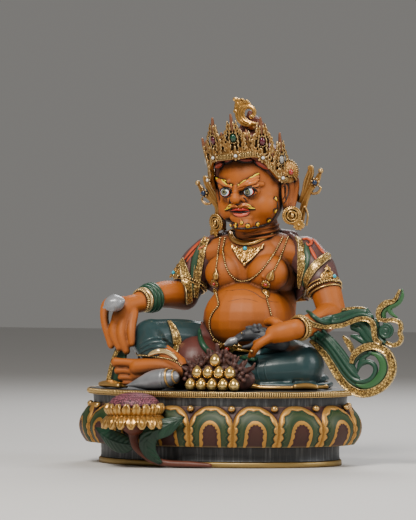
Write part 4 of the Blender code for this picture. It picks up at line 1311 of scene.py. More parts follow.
BORDER_OUTLINE = [
    (-1, -1.2), (-1, 0.5), (-0.94, 0.95), (-0.84, 0.95), (-0.78, 0.6), (-0.4, 0.8), (0, 0.85), (0.4, 0.8),
    (0.78, 0.6), (0.84, 0.95), (0.94, 0.95), (1, 0.5), (1, -1.2)
]


def drawn(ground, pixels, width, lift=0.0, steps=8):
    """Ribbon stations on a surface along pixels of the photograph; width is the whole width in mm."""
    stations = []
    for pixel in smooth_path([Vector(pixel) for pixel in pixels], steps):
        point, facing = seen(ground, pixel[0], pixel[1])
        wide = pixel[2] if len(pixel) > 2 else width
        stations.append((point + facing * lift * MM, facing, wide / 2 * MM))
    return stations


def draped(ground, guesses, width, lift=0.0, steps=8):
    """Ribbon stations on the surface nearest to a smooth line through points of the figure in mm."""
    stations = []
    for guess in smooth_path([Vector(guess) for guess in guesses], steps):
        point, facing = ground.find_nearest(SEAT @ Vector(guess[:3]))[:2]
        wide = guess[3] if len(guess) > 3 else width
        stations.append((point + facing * lift * MM, facing, wide / 2 * MM))
    return evened(stations)


def evened(stations, passes=3):
    """Ribbon stations with their points and facings averaged along the strip, so that it lies calm."""
    for _ in range(passes):
        calm = [stations[0]]
        for before, here, after in zip(stations, stations[1:], stations[2:]):
            calm.append((
                (before[0] + here[0] * 2 + after[0]) / 4, (before[1] + here[1] * 2 + after[1]).normalized(),
                here[2]
            ))
        stations = [*calm, stations[-1]]
    return stations


# The cape: a short cape of stiff cloth over the shoulders and back, cast with the body. Its front
# panels are green and mauve, with punched gilt borders, and a flame-red collar curls on each side.
cape_mauve = finish(
    "mauve paint", (0.095, 0.04, 0.036), (0.014, 0.005, 0.004), (0.2, 0.09, 0.08), rub=0.3, rough=0.45,
    drift=0.5
)
panel_green = finish(
    "panel green paint", (0.02, 0.06, 0.03), (0.002, 0.008, 0.004), (0.07, 0.16, 0.08), rub=0.3, rough=0.42,
    drift=0.5
)
flame_red = finish(
    "flame red paint", (0.5, 0.06, 0.014), (0.03, 0.004, 0.002), (0.75, 0.2, 0.07), rub=0.3, rough=0.4,
    drift=0.35
)
cape = Clay(SEAT)
cape.limb((58, 53, 117, 17), (71, 49, 106, 16.8), (79, 44, 95, 15.5))
cape.limb((-34, 53, 117, 17), (-44, 50, 107, 17), (-50, 46, 95, 15.6))
for side in (-1, 1):
    cape.strap(
        4.4,
        (12 + side * 31, 52, 136, side * 3, -4, 0), (12 + side * 43, 42, 130, side * 4, -4, 0),
        (12 + side * 50, 37, 108, side * 4, -4, 0), (12 + side * 50, 39, 86, side * 3, -4, 0),
    )
cape.ball((12, 62, 108), (44, 21, 32))
cape.strap(8, (-38, 65, 106, 0, 12, 20), (12, 81, 92, 0, 10, 34), (62, 65, 106, 0, 12, 20))
cape.limb((-34, 60, 121, 7), (-14, 68, 123, 8), (12, 72, 123, 8), (38, 68, 123, 8), (58, 60, 121, 7))
cape.limb((-20, 58, 133, 6), (12, 64, 135, 7), (44, 58, 133, 6))
for fold in range(7):
    across = -24 + fold * 12
    cape.limb(
        (12 + (across - 12) * 0.5, 76, 128, 1.6), (12 + (across - 12) * 0.85, 83, 100, 1.9),
        (12 + (across - 12) * 1.05, 82 - abs(fold - 3) * 1.6, 78, 2.0)
    )
cape_piece = keep("cape", cape.melted(0.9, 5), cape_mauve, "maroon_paint")
cloth = skin_of(cape_piece, body_skin)
# Each strip: its line of pixels with the width in mm, and how far it stands off the cloth in mm.
CAPE_STRIPS = (
    (
        "cape_border_left",
        [(297.5, 238, 6), (300.5, 246, 7), (302, 262, 8), (300.5, 278, 7), (299.5, 288, 4)], 0.6
    ),
    (
        "sleeve_hem_left",
        [(331.5, 254, 5), (325, 258, 7), (315, 267, 8), (308, 278, 8), (304.5, 292, 6), (304.4, 297, 4)],
        1.0
    ),
    (
        "cape_border_right",
        [(207, 238, 6), (203.5, 244, 7), (200, 258, 8), (197.5, 272, 7.5), (196, 288, 6), (195, 298, 4)],
        0.6
    ),
    (
        "sleeve_hem_right",
        [(182.5, 260, 5), (184.5, 270, 8), (187, 284, 8.5), (188.2, 296, 8), (188.4, 303, 6)], 1.0
    )
)
for name, line, lift in CAPE_STRIPS:
    strip = ribbon_mesh(evened(drawn(cloth, line, 7, lift)), BORDER_OUTLINE)
    keep(name, strip, punched_gold, "gilding")
for label, side in (("left", 1), ("right", -1)):
    hem = draped(
        cloth, [(12 + side * 46, 86, 79), (12 + side * 36, 90, 76), (12 + side * 20, 93, 72), (12, 94, 70)],
        6, 0.2
    )
    keep("cape_hem_" + label, ribbon_mesh(hem, BORDER_OUTLINE), punched_gold, "gilding")
FOLD_OUTLINE = [(-1, -1), (-0.9, 0.2), (-0.5, 0.75), (0, 0.9), (0.5, 0.75), (0.9, 0.2), (1, -1)]
CAPE_PANELS = (
    (
        "green_panel_left",
        [(305.5, 243, 2), (307, 252, 6), (306.5, 264, 5.5), (304, 278, 2.5), (303, 286, 1)], panel_green,
        "green_paint"
    ),
    (
        "green_panel_right",
        [(199, 246, 2), (196, 256, 6), (193.5, 270, 5.5), (192.5, 284, 3), (192, 292, 1)], panel_green,
        "green_paint"
    ),
    (
        "maroon_panel_right", [(192.5, 254, 1), (189.5, 262, 5), (188.5, 272, 3.5), (189, 282, 1)], maroon,
        "maroon_paint"
    )
)
for name, line, look, slot in CAPE_PANELS:
    keep(name, ribbon_mesh(evened(drawn(cloth, line, 6, 0.5)), FOLD_OUTLINE), look, slot)
COLLAR_FLAMES = (
    [
        (302.6, 240, 1.8), (306.6, 239.2, 2.6), (310.4, 240.8, 3), (311, 244, 2.6), (308.2, 245.8, 2.2),
        (306, 243.6, 1.2)
    ],
    [(311.4, 239.4, 1.6), (315.2, 242.4, 3), (318.6, 246.6, 3.4), (321.8, 251, 3), (325, 255, 1)],
    [(310, 247.6, 2), (312.2, 252, 3), (315, 257, 2.8), (318, 262.4, 1)],
    [(207, 238.6, 2.2), (200.6, 242.4, 3.4), (194.4, 248, 3.6), (188.8, 254.4, 3.2), (184, 261, 1)],
    [(204.6, 245.6, 2), (198, 249.6, 3), (191.4, 256.4, 2.8), (187, 262.4, 1)]
)
FLAME_OUTLINE = [
    (-1, -1.6), (-1, 0.1), (-0.75, 0.8), (-0.3, 1.1), (0.3, 1.1), (0.75, 0.8), (1, 0.1), (1, -1.6)
]
for index, line in enumerate(COLLAR_FLAMES):
    stations = evened(drawn(cloth, line, 2.6, 0.4 if index else 0.7, 6), 2)
    keep(f"collar_flame_{index}", ribbon_mesh(stations, FLAME_OUTLINE), flame_red, "red_paint")

# Jewellery on the body: a gilt torc with a pierced pendant, bead strings with set stones, armlets
# and bangles. Beads are drops of copper wire on chains, soldered down, and the stones are set cold.


def polished(name, colour, dark, bright, drift=0.3, rough=0.12, coat=0.6):
    """The finish of a polished stone."""
    return finish(name, colour, dark, bright, reach=1 * MM, rough=rough, coat=coat, drift=drift, bump=0.02)


stone_blue = polished("turquoise", (0.01, 0.4, 0.55), (0.005, 0.05, 0.07), (0.1, 0.7, 0.8))
stone_red = polished("garnet", (0.4, 0.025, 0.02), (0.05, 0.004, 0.004), (0.8, 0.2, 0.15))
flesh = skin_of(body_skin, cape_piece)


def bead_row(ground, pixels, pitch, lift):
    """Bead centres along pixels of the photograph on a surface, evenly a pitch apart in mm."""
    line = [station.to_3d() for station in laid(ground, pixels, lift, 12)]
    return spaced(line, pitch * MM)


def spaced(line, pitch):
    reach = [0.0]
    for start, end in zip(line, line[1:]):
        reach.append(reach[-1] + (end - start).length)
    count = max(2, round(reach[-1] / pitch))
    places = np.linspace(0, reach[-1], count + 1)
    columns = [np.interp(places, reach, [point[axis] for point in line]) for axis in range(3)]
    return [Vector(point) for point in zip(*columns)]


# Each string: its line of pixels, then the pitch, the lift and the radius of the beads in mm.
BEAD_STRINGS = (
    (
        "inner_beads",
        [
            (225.2, 238.6), (223.8, 245), (223.6, 256), (228, 271), (236, 279.6), (243, 281.4),
            (252, 278.6), (262, 270), (272, 257), (279.4, 244.4), (282.8, 238)
        ],
        1.95, 0.6, 0.76
    ),
    ("outer_beads_right", [(220.4, 238.6), (219, 246), (217.6, 258), (216, 271)], 1.8, 0.5, 0.68),
    ("outer_beads_left", [(288.4, 237), (286.4, 242), (282, 254), (274.4, 270)], 1.8, 0.5, 0.68),
    (
        "belly_beads_right",
        [
            (216.4, 293), (218, 300), (218.6, 306), (213, 313), (210, 322), (211, 331), (215, 338.4),
            (221.6, 343)
        ],
        1.95, 0.7, 0.8
    ),
    ("belly_beads_left", [(266, 295), (267.4, 302), (269.4, 309), (271, 315)], 1.8, 0.5, 0.68)
)
for name, line, pitch, lift, radius in BEAD_STRINGS:
    keep(name, bead_mesh(bead_row(flesh, line, pitch, lift), radius * MM), gilding, "gilding")
torc = Clay(MILLIMETRES)
TORC_WIRE = [
    (230.4, 228, 1.0), (230.4, 235, 1.5), (234, 241, 1.7), (243, 244.4, 1.8), (254, 243.4, 1.8),
    (265, 238.4, 1.7), (271, 234.8, 1.5), (275.4, 231.6, 1.1)
]
TORC_EDGE = [
    (232, 233, 0.7), (235, 238.6, 0.8), (243, 241.6, 0.8), (254, 240.8, 0.8), (265, 235.4, 0.8),
    (270.6, 231.8, 0.7)
]
world_limb(torc, laid(flesh, TORC_WIRE, 0.8, 4))
world_limb(torc, laid(flesh, TORC_EDGE, 1.2, 4))
keep("torc", torc.melted(0.45, 2), gilding, "gilding")


def flower_setting(clay, place, size, petals=8):
    """A little flower of beads with a raised ring for a stone, on a surface frame in mm."""
    for petal in range(petals):
        around = 2 * pi * petal / petals
        clay.ball(
            (size * cos(around), -0.3, size * sin(around)), (size * 0.34, 0.8, size * 0.34), place=place
        )
    ring = [
        (size * 0.6 * cos(a), -0.7, size * 0.6 * sin(a), size * 0.16)
        for a in np.linspace(0, 2 * pi, 13)
    ]
    clay.limb(*ring, place=place, sides=8)
    clay.ball((0, 0.2, 0), (size * 0.8, 0.9, size * 0.8), place=place)


def curl(clay, place, x, z, radius, start, sweep, thick, lift=0.0):
    """A small scroll in a piece's face: it winds in from its radius through a sweep in degrees."""
    line = []
    steps = max(5, int(abs(sweep) / 40))
    for step in range(steps + 1):
        part = step / steps
        around = radians(start + sweep * part)
        reach = radius * (1 - 0.72 * part)
        line.append((x + reach * cos(around), -lift, z + reach * sin(around), thick * (1 - 0.35 * part)))
    clay.limb(*line, place=place, sides=8)


PENDANT_PIXEL = (246.5, 252)
PENDANT_STONE_PIXEL = (245.6, 249.2)
# Each curl of one half: its centre, radius, first turn and sweep in degrees.
PENDANT_CURLS = (
    (3.4, 0.8, 2.6, 90, -320), (8.2, 2.2, 2.5, 60, -330), (12.6, 4.4, 2.2, 60, -330),
    (3.0, -4.2, 2.4, 120, -330), (7.0, -2.6, 2.0, 60, -330), (1.9, -8, 1.8, 120, -320)
)
pendant = Clay(MILLIMETRES)
pendant_place = FROM_METRES @ feature_frame(flesh, *PENDANT_PIXEL)
pendant.ball((0, 0.4, 1.2), (12, 1.3, 4.6), place=pendant_place)
pendant.ball((0, 0.2, -4), (7, 1.4, 5), place=pendant_place)
for side in (-1, 1):
    for x, z, radius, start, sweep in PENDANT_CURLS:
        x, start, sweep = (x, start, sweep) if side > 0 else (-x, 180 - start, -sweep)
        curl(pendant, pendant_place, x, z, radius, start, sweep, 0.75, 0.8)
    pendant.limb(
        *[(side * x, -0.6, z, 0.7) for x, z in ((15, 7.5), (12, 1.8), (7.6, -4.6), (3, -9.6), (0, -12.2))],
        place=pendant_place
    )
pendant.ball((0, -0.4, -11.8), (1.5, 1.3, 2.2), place=pendant_place)
keep("pendant", pendant.melted(0.4, 1), gilding, "gilding")
stone_place = feature_frame(flesh, *PENDANT_STONE_PIXEL) @ Vector((0, -1.6, 0))
keep("pendant_stone", bead_mesh([stone_place], 1.9 * MM, 1.0, fine_ball), stone_blue, "stone")
# The drops of each string: a pixel and a size in mm for the drop, the flower and the lower drop.
STRING_DROPS = (
    ("right", ((215.8, 275.4, 2.3), (214.8, 283.4, 3.1), (216.6, 291.4, 2.3)), 4),
    ("left", ((270.6, 276.2, 2.4), (265.7, 284.3, 3.1), (266, 293, 2.4)), 22),
)
for label, spots, lean in STRING_DROPS:
    drops = Clay(MILLIMETRES)
    for spot, (across, down, size) in enumerate(spots):
        place = FROM_METRES @ feature_frame(flesh, across, down, lean if spot == 0 else 0)
        if spot == 1:
            flower_setting(drops, place, size, 9)
            continue
        tip = 1 if spot == 0 else -1
        drops.limb(
            (0, -0.4, tip * -2.4, 1.7), (0, -0.4, 0, 1.9), (0, -0.3, tip * 2.6, 1.2),
            (0, -0.2, tip * 4.6, 0.6), place=place
        )
        for edge in (-1, 1):
            drops.limb(
                (0, -0.5, tip * -4.2, 0.6), (edge * 2.6, -0.5, tip * -2.2, 0.6),
                (edge * 2.4, -0.5, tip * 0.8, 0.6), (0, -0.5, tip * 5.2, 0.5), place=place, sides=8
            )
    keep("string_drops_" + label, drops.melted(0.36, 1), gilding, "gilding")
    for kind, spot, lift, share in (("stone", 1, -1.0, 0.52), ("dot", 0, -0.9, 0.42)):
        across, down, size = spots[spot]
        centre = feature_frame(flesh, across, down) @ Vector((0, lift, 0))
        stone = bead_mesh([centre], size * share * MM, 1.0, fine_ball)
        keep(f"string_{kind}_{label}", stone, stone_red, "stone")


def ring_on(start, end, share, radius, count):
    """Points of a ring square to a limb of the figure, given in its points, at a share of its length."""
    start, end = Vector(start), Vector(end)
    ahead = (end - start).normalized()
    centre = start + (end - start) * share
    side = ahead.cross(Vector((0, 0, 1))).normalized()
    upward = side.cross(ahead)
    ring = []
    for step in range(count):
        around = 2 * pi * step / count
        ring.append(centre + (side * cos(around) + upward * sin(around)) * radius)
    return ring


def bangle(name, start, end, share, radius, thick, look, slot):
    ring = ring_on(start, end, share, radius, 24)
    clay = Clay(SEAT)
    clay.limb(*[(*point, thick) for point in ring + ring[:1]])
    return keep(name, clay.melted(0.5, 1), look, slot)


pale_gold = finish(
    "pale gilding", (0.85, 0.58, 0.24), GOLD_WASH_AND_SHADE, (1, 0.9, 0.65), reach=1.6 * MM, depth=1.2, rub=0.4,
    rough=0.26, metal=0.7
)
# Painted shade: thin dark brown strips laid along the belly's creases, where shade falls.
painted_crease_shade = finish("painted crease shade", (0.09, 0.028, 0.008), (0.02, 0.007, 0.002), rub=0.1, rough=0.5)
BELLY_CREASES = (
    [
        (221, 291, 0.3), (231, 290.4, 0.5), (244, 289.4, 0.5), (254, 292.6, 0.6), (262, 297.8, 0.6),
        (272, 301.6, 0.5), (283, 302, 0.3)
    ],
    [(222, 303, 0.3), (232, 300.6, 0.45), (243, 298.8, 0.45), (254, 300.6, 0.45), (263, 304, 0.3)]
)
lined("belly_creases", flesh, BELLY_CREASES, painted_crease_shade, "skin_paint", -0.3, 0.35)
cuff_green = finish(
    "cuff green paint", (0.008, 0.055, 0.026), (0.001, 0.008, 0.004), (0.04, 0.14, 0.075), rub=0.35,
    rough=0.38, drift=0.4
)
forearm = ((-60, 12, 82), (-69, -17, 77))
for index, (share, radius, thick) in enumerate(((0.5, 11.2, 2.5), (0.62, 11.0, 2.6), (0.735, 10.4, 2.3))):
    bangle(f"rolled_cuff_{index}", *forearm, share, radius, thick, cuff_green, "green_paint")
bangle("gold_cuff_right", *forearm, 0.86, 9.4, 1.9, pale_gold, "gilding")
ring = ring_on(*forearm, 0.99, 9.4, 30)
keep("wrist_beads_right", bead_mesh([SEAT @ point for point in ring], 1.25 * MM), gilding, "gilding")
wrist = ((91, 8, 58), (84, -22, 54))
for index, share in enumerate((0.74, 0.92)):
    bangle(f"gold_cuff_left_{index}", *wrist, share, 9.8, 1.2, gilding, "gilding")
ring = ring_on(*wrist, 0.83, 10.4, 32)
keep("wrist_beads_left", bead_mesh([SEAT @ point for point in ring], 1.35 * MM), gilding, "gilding")
for label, start, end, share in (
    ("left", (80, 43, 94), (92, 36, 68), 0.22), ("right", (-48, 46, 96), (-52, 38, 80), 0.3)
):
    for index, (offset, thick) in enumerate(((-0.13, 0.8), (0.13, 0.8))):
        bangle(f"armlet_{label}_{index}", start, end, share + offset, 14.6, thick, gilding, "gilding")
    ring = ring_on(start, end, share, 15.3, 44)
    keep("armlet_beads_" + label, bead_mesh([SEAT @ point for point in ring], 1.1 * MM), gilding, "gilding")
ARMLETS = (("left", 328, 275.5, 5.6), ("right", 176.5, 272, -3.4))
for label, across, down, stone_side in ARMLETS:
    place = FROM_METRES @ feature_frame(flesh, across, down)
    plate = Clay(MILLIMETRES)
    plate.ball((0, 0.8, -1), (7, 1.4, 5.5), place=place)
    for side in (-1, 1):
        for x, z, radius in ((2.8, -3.2, 2.4), (6.2, -4.6, 2.1), (2.4, 1.6, 2.0), (1.2, 5.6, 1.4)):
            curl(plate, place, side * x, z, radius, 90, -side * 330, 0.7, 0.9)
    plate.ball((0, -0.2, 7.6), (1.2, 1, 2.2), place=place)
    keep("armlet_plate_" + label, plate.melted(0.4, 1), gilding, "gilding")
    stone_place = feature_frame(flesh, across, down) @ Vector((stone_side, -0.9, -1))
    stone = bead_mesh([stone_place], 1.8 * MM, 1.0, fine_ball)
    keep("armlet_stone_" + label, stone, stone_blue, "stone")

# The belt and sashes: a gilt belt with a stone clasp under the belly, a green sash below it, and
# a green lined drape with a punched gilt edge that falls over the right knee to the base.
belt = Clay(MILLIMETRES)
robe_ground = skin_of(robe_piece, lining_piece, body_skin)
BELT_LINE = [(213, 341, 1.3), (222, 344.6, 1.6), (232, 347.6, 1.6), (243, 349.6, 1.6), (252, 351, 1.4)]
CLASP_PIXEL = (229, 345.4)
world_limb(belt, laid(robe_ground, BELT_LINE, 0.8, 4))
belt_place = FROM_METRES @ feature_frame(robe_ground, *CLASP_PIXEL)
flower_setting(belt, belt_place @ Matrix.Translation((0, -2.6, 0)), 5.0, 10)
for side in (-1, 1):
    curl(belt, belt_place, side * 7.4, 0.8, 3.0, 90, -side * 340, 1.0, 2.6)
    curl(belt, belt_place, side * 12.4, 0.6, 2.6, 90, -side * 340, 0.95, 2.2)
keep("belt", belt.melted(0.45, 1), gilding, "gilding")
stone_place = feature_frame(robe_ground, *CLASP_PIXEL) @ Vector((0, -4.2, 0))
keep("belt_stone", bead_mesh([stone_place], 2.3 * MM, 1.0, fine_ball), stone_red, "stone")
robe_folds = Clay(MILLIMETRES)
for lift, rise in ((0, 0), (4.4, 1), (8.6, 2)):
    arc = [
        (141 - rise, 353 - lift, 0.9), (148, 348.2 - lift, 1.7), (156, 346.4 - lift, 2.0),
        (165, 347.6 - lift, 1.8), (174, 352 - lift * 0.8, 1.0)
    ]
    world_limb(robe_folds, laid(robe_ground, arc, -0.4, 4))
for fold in range(2):
    arc = [
        (262 + fold * 7, 357 + fold * 0.6, 0.6), (257.4 + fold * 7.4, 366, 1.1),
        (258 + fold * 7.8, 376, 1.1), (262 + fold * 7.8, 383, 0.6)
    ]
    world_limb(robe_folds, laid(robe_ground, arc, -0.6, 4))
keep("robe_folds", robe_folds.melted(0.5, 3), robe_teal, "robe_paint")
sash = Clay(MILLIMETRES)
SASH_LINE = [
    (199.4, 332, 1.8), (201, 341, 2.6), (205, 348.4, 3.0), (211, 353.6, 3.0), (222, 356.4, 2.8),
    (240, 358, 2.4), (256, 359, 2.0)
]
SASH_END = [(199.4, 330, 1.4), (200.6, 337, 1.8), (203, 344, 1.8)]
world_limb(sash, laid(robe_ground, SASH_LINE, 0.3, 4))
world_limb(sash, laid(robe_ground, SASH_END, 0.4, 4))
keep("sash", sash.melted(0.7, 2), cuff_green, "green_paint")
ROBE_BORDER = [(168.6, 322, 3), (173, 329, 6), (176.4, 339, 8), (176.6, 349, 7), (175.4, 358, 4)]
strip = ribbon_mesh(evened(drawn(robe_ground, ROBE_BORDER, 7, 0.8)), BORDER_OUTLINE)
keep("robe_border_right", strip, punched_gold, "gilding")
foot_ground = skin_of(robe_piece, bare_foot)
ANKLE_BAND = [
    (149.4, 355.4, 3), (153.6, 352.8, 4.4), (160, 351.4, 4.8), (167, 352.6, 4.8), (173, 356, 4),
    (177, 360.4, 2.4)
]
ANKLET_LINE = [(132, 355.8), (142, 355.2), (156, 356.8), (168, 359), (177, 362.4), (181, 365.6)]
strip = ribbon_mesh(evened(drawn(foot_ground, ANKLE_BAND, 5, 1.2)), FOLD_OUTLINE)
keep("ankle_band", strip, pale_gold, "gilding")
keep("anklet_beads", bead_mesh(bead_row(foot_ground, ANKLET_LINE, 1.8, 0.4), 0.72 * MM), gilding, "gilding")


def at_depth(across, down, depth):
    """The point at a pixel of the photograph where Y is depth millimetres."""
    ray = pixel_ray(across, down)
    return lens_place + ray * ((depth * MM - lens_place.y) / ray.y)


drape = Clay(SEAT)
drape.strap(4, (-80, -30, 42, 6, -3, 0), (-83, -32, 24, 10, -5, 0), (-86, -34, 2, 13, -6, 0))
drape.strap(3, (-76, -30, 40, 3, -4, 0), (-78, -34, 22, 3, -5, 0), (-80, -38, 2, 3, -6, 0))
keep("knee_drape", drape.melted(0.8, 3), panel_green, "green_paint")
# The edge's pixels, with the depth and the width in mm at each.
DRAPE_EDGE = [
    (125.4, 345.6, -35, 2.5), (118.6, 349.6, -36, 3.4), (114, 357, -37, 3.6), (111, 368, -38, 3.8),
    (108.6, 379, -39, 4), (107.6, 386, -40, 4.2)
]
edge_facing = (view_back + Vector((0, 0, 0.1))).normalized()
edge = []
for across, down, depth, width in smooth_path(DRAPE_EDGE):
    edge.append((at_depth(across, down, depth), edge_facing, width / 2 * MM))
keep("knee_drape_edge", ribbon_mesh(evened(edge), BORDER_OUTLINE), punched_gold, "gilding")
hem = Clay(SEAT)
hem.limb(
    (-100, -34, 3.4, 2.2), (-94, -38, 3.6, 3.2), (-86, -40, 4.2, 3.4), (-78, -43, 3.4, 3.0),
    (-70, -44, 3, 2.4)
)
hem.limb((-98, -37, 3, 1.8), (-88, -43, 3.4, 2.4), (-76, -47, 2.6, 2.2))
hem.limb(
    (52, -30, 2.6, 2.0), (68, -25, 2.6, 1.7), (82, -18, 2.6, 1.7), (93, -8, 2.6, 1.7), (100, 6, 2.6, 2.2)
)
hem.limb((36, -33, 3.2, 2.4), (46, -31, 3.4, 2.8), (53, -29, 2.4, 2.2))
hem.limb((82, -20, 3.6, 2.2), (90, -13, 4.0, 2.8), (97, -8, 2.6, 2.2))
for fold in range(14):
    around = radians(8 + fold * 12.5)
    stations = []
    for turn, out, height, radius in ((0, 0, 2.4, 2.2), (0.11, 1, 2.6, 2.5), (0.22, 0, 2.4, 2.2)):
        across, along = (74 + out) * cos(around + turn), (49 + out) * sin(around + turn)
        stations.append((12 + across, 34 + along, height, radius))
    hem.limb(*stations)
keep("robe_hem", hem.melted(0.7, 2), gilding, "gilding")

# The crown: five pierced leaves and four small ones on a ribbed band, cut and chased from sheet
# copper, gilt and set with stones. Pearl flowers cover the joints and a fluted fan closes each side.
crown = Clay(HEAD)
tips = Clay(HEAD)
LEAVES = ((7, 36, 2), (45, 36, 2), (73, 40, 2), (-28, 35, 12), (-62, 37, 7))
LEAF_HALF_WIDTH = 9.4
STONE_SHARE = 0.4


def crown_leaf(angle, height, width, lean=0):
    """A pierced leaf of curls and upright drops round a stone, on the band at this angle; gives its frame."""
    place = Matrix.Translation(band_point(angle, lift=2)) @ turned(6, lean, angle)
    big = height > 25
    crown.limb((0, 0.4, 0, 1.3), (0, 0.6, height * 0.3, 1.2), (0, 0.3, height * 0.66, 1.1), place=place)
    tips.limb(
        (0, 0, height * 0.58, 1.1), (0, -0.2, height * 0.76, 1.6), (0, 0, height * 0.9, 1.4),
        (0, 0, height * 0.98, 1.0), place=place, sides=10
    )
    for side in (-1, 1):
        frond = [
            (0.2, 0.04, 1.0), (0.72, 0.16, 1.0), (1.0, 0.32, 0.95), (0.86, 0.5, 0.85), (0.5, 0.64, 0.75),
            (0.2, 0.76, 0.6)
        ]
        crown.limb(
            *[(side * width * x, 0.2, height * z, thick) for x, z, thick in frond], place=place, sides=8
        )
        for row in range(6 if big else 3):
            part = row / (5 if big else 2)
            z = height * (0.14 + 0.56 * part)
            reach = width * (0.72 + 0.34 * sin(pi * min(1, part * 1.1 + 0.1))) * (1 - 0.5 * part)
            start, sweep = (-60, 300) if side > 0 else (240, -300)
            curl(crown, place, side * reach, z, 1.9 if big else 1.5, start, sweep, 0.74, 0.8)
            crown.limb(
                (side * reach * 1.12, 0, z + 1.2, 0.9), (side * reach * 1.2, -0.3, z + 3.0, 0.9),
                (side * reach * 1.06, -0.2, z + 4.6, 0.5), place=place, sides=8
            )
            crown.limb(
                (side * reach * 0.5, -0.4, z + 0.6, 1.0), (side * reach * 0.46, -1.0, z + 2.4, 0.95),
                (side * reach * 0.4, -0.6, z + 3.8, 0.5), place=place, sides=8
            )
    if big:
        for step in range(12):
            around = 2 * pi * step / 12
            crown.ball(
                (3.7 * cos(around), -1.0, height * STONE_SHARE + 4.8 * sin(around)), 0.72, place=place
            )
    crown.ball((0, 1.5, height * 0.36), (width * 0.8, 0.9, height * 0.32), place=place)
    return HEAD @ place


leaf_frames = {}
for angle, height, lean in LEAVES:
    leaf_frames[angle] = (crown_leaf(angle, height, LEAF_HALF_WIDTH, lean), height)
for angle in (-9, 26, 59, -45):
    crown_leaf(angle, 20, 5.4)
for lift, radius in ((-2.1, 0.85), (2.9, 0.9)):
    crown.limb(*[(*band_point(turn, -1.1, lift), radius) for turn in range(-180, 181, 8)], sides=10)
for lift in (-0.4, 3.2):
    crown.limb(*[(*band_point(turn, 0.4, lift), 2.1) for turn in range(-180, 181, 8)], sides=12)
for step in range(60):
    turn = -180 + step * 6
    crown.limb(
        (*band_point(turn, -0.8, 3.6), 0.7), (*band_point(turn, -1.2, 5.4), 0.9),
        (*band_point(turn + 1.4, -0.8, 7.0), 0.5), sides=8
    )
PEARLS = (8, 43, 70, -27, -62)
for angle in PEARLS:
    place = Matrix.Translation(band_point(angle, -2.0, 0.4)) @ turned(0, 0, angle)
    flower_setting(crown, place, 3.4, 7)
    crown.limb((0, 0, 3, 1.2), (0, 0, 8, 1.0), place=place)
for side in (-1, 1):
    place = Matrix.Translation((side * 36, 4, 15)) @ turned(0, 0, side * 60)
    for ray in range(19):
        around = radians(-50 + ray * 14)
        out = Vector((side * cos(around), sin(around)))
        crown.limb(
            (4.4 * out.x, -2.9, 4.4 * out.y, 0.7), (8.6 * out.x, -2.4, 8.6 * out.y, 0.95),
            (10.6 * out.x, -0.8, 10.6 * out.y, 0.95), place=place, sides=8
        )
    crown.ball((0, 0, 0), (10.0, 2.2, 10.0), place=place)
    flower_setting(crown, place @ Matrix.Translation((0, -2.8, 0)), 3.8, 9)
crown_gold = finish(
    "worn gilding", (0.3, 0.14, 0.03), (0.01, 0.003, 0.001), (1.0, 0.74, 0.34), reach=2.6 * MM, depth=2.8,
    rub=0.95, rough=0.32, metal=0.7
)
keep("crown_work", crown.melted(0.44, 1), crown_gold, "gilding", "crown")
copper_tips = finish(
    "rubbed copper", (0.2, 0.07, 0.03), (0.03, 0.01, 0.004), (0.5, 0.25, 0.13), reach=2 * MM, rub=0.5,
    rough=0.4, metal=0.4
)
keep("crown_tips", tips.melted(0.4, 1), copper_tips, "gilding")
ribs = [HEAD @ band_point(turn * 2.3, -1.7, 0.4) for turn in range(-78, 79)]
keep("crown_ribs", bead_mesh(ribs, 0.58 * MM, 3.6), gilding, "gilding")
pearl = finish(
    "pearl", (0.8, 0.78, 0.74), (0.15, 0.1, 0.08), (1, 1, 1), reach=1 * MM, rough=0.12, coat=0.5, drift=0.1,
    bump=0.0
)
keep(
    "crown_pearls",
    bead_mesh([HEAD @ band_point(angle, -3.9, 0.4) for angle in PEARLS], 1.5 * MM, 1.0, fine_ball), pearl,
    "stone"
)
stone_green = polished("malachite", (0.004, 0.05, 0.022), (0.002, 0.014, 0.008), (0.05, 0.3, 0.15), 0.6)
stone_wine = polished("wine red stone", (0.09, 0.006, 0.016), (0.02, 0.002, 0.003), (0.4, 0.05, 0.08))
stone_white = polished("moonstone", (0.3, 0.29, 0.27), (0.08, 0.06, 0.05), (0.8, 0.8, 0.78), 0.5, 0.14, 0.5)
stone_night = polished("lapis", (0.006, 0.024, 0.07), (0.003, 0.006, 0.02), (0.1, 0.2, 0.45), 0.5)


def set_stone(name, place, radius, look, tall=1.35):
    """A domed oval stone in mm on a frame whose front is -Y."""
    clay = Clay(MILLIMETRES)
    clay.ball((0, 0, 0), (radius, radius * 0.7, radius * tall), place=FROM_METRES @ place)
    return keep(name, clay.mesh(), look, "stone")


for angle, look in zip(
    (angle for angle, _, _ in LEAVES), (stone_green, stone_wine, stone_white, stone_wine, stone_white)
):
    place, height = leaf_frames[angle]
    set_stone(
        f"leaf_stone_{angle}".replace("-", "r"),
        place @ Matrix.Translation((0, -1.2, height * STONE_SHARE)), 2.6, look
    )
for label, side in (("left", 1), ("right", -1)):
    place = HEAD @ Matrix.Translation((side * 36, 4, 15)) @ turned(0, 0, side * 60)
    place = place @ Matrix.Translation((0, -4.2, 0))
    set_stone("fan_stone_" + label, place, 2.3, stone_red, 1.1)

# The scroll above the crown: a flame-like spiral of sheet copper on edge, chased with grooves and
# gilt, which rises from the front of the bun.
scroll = Clay(HEAD @ Matrix.Translation((9, -2, 71.5)) @ turned(-8, 5))
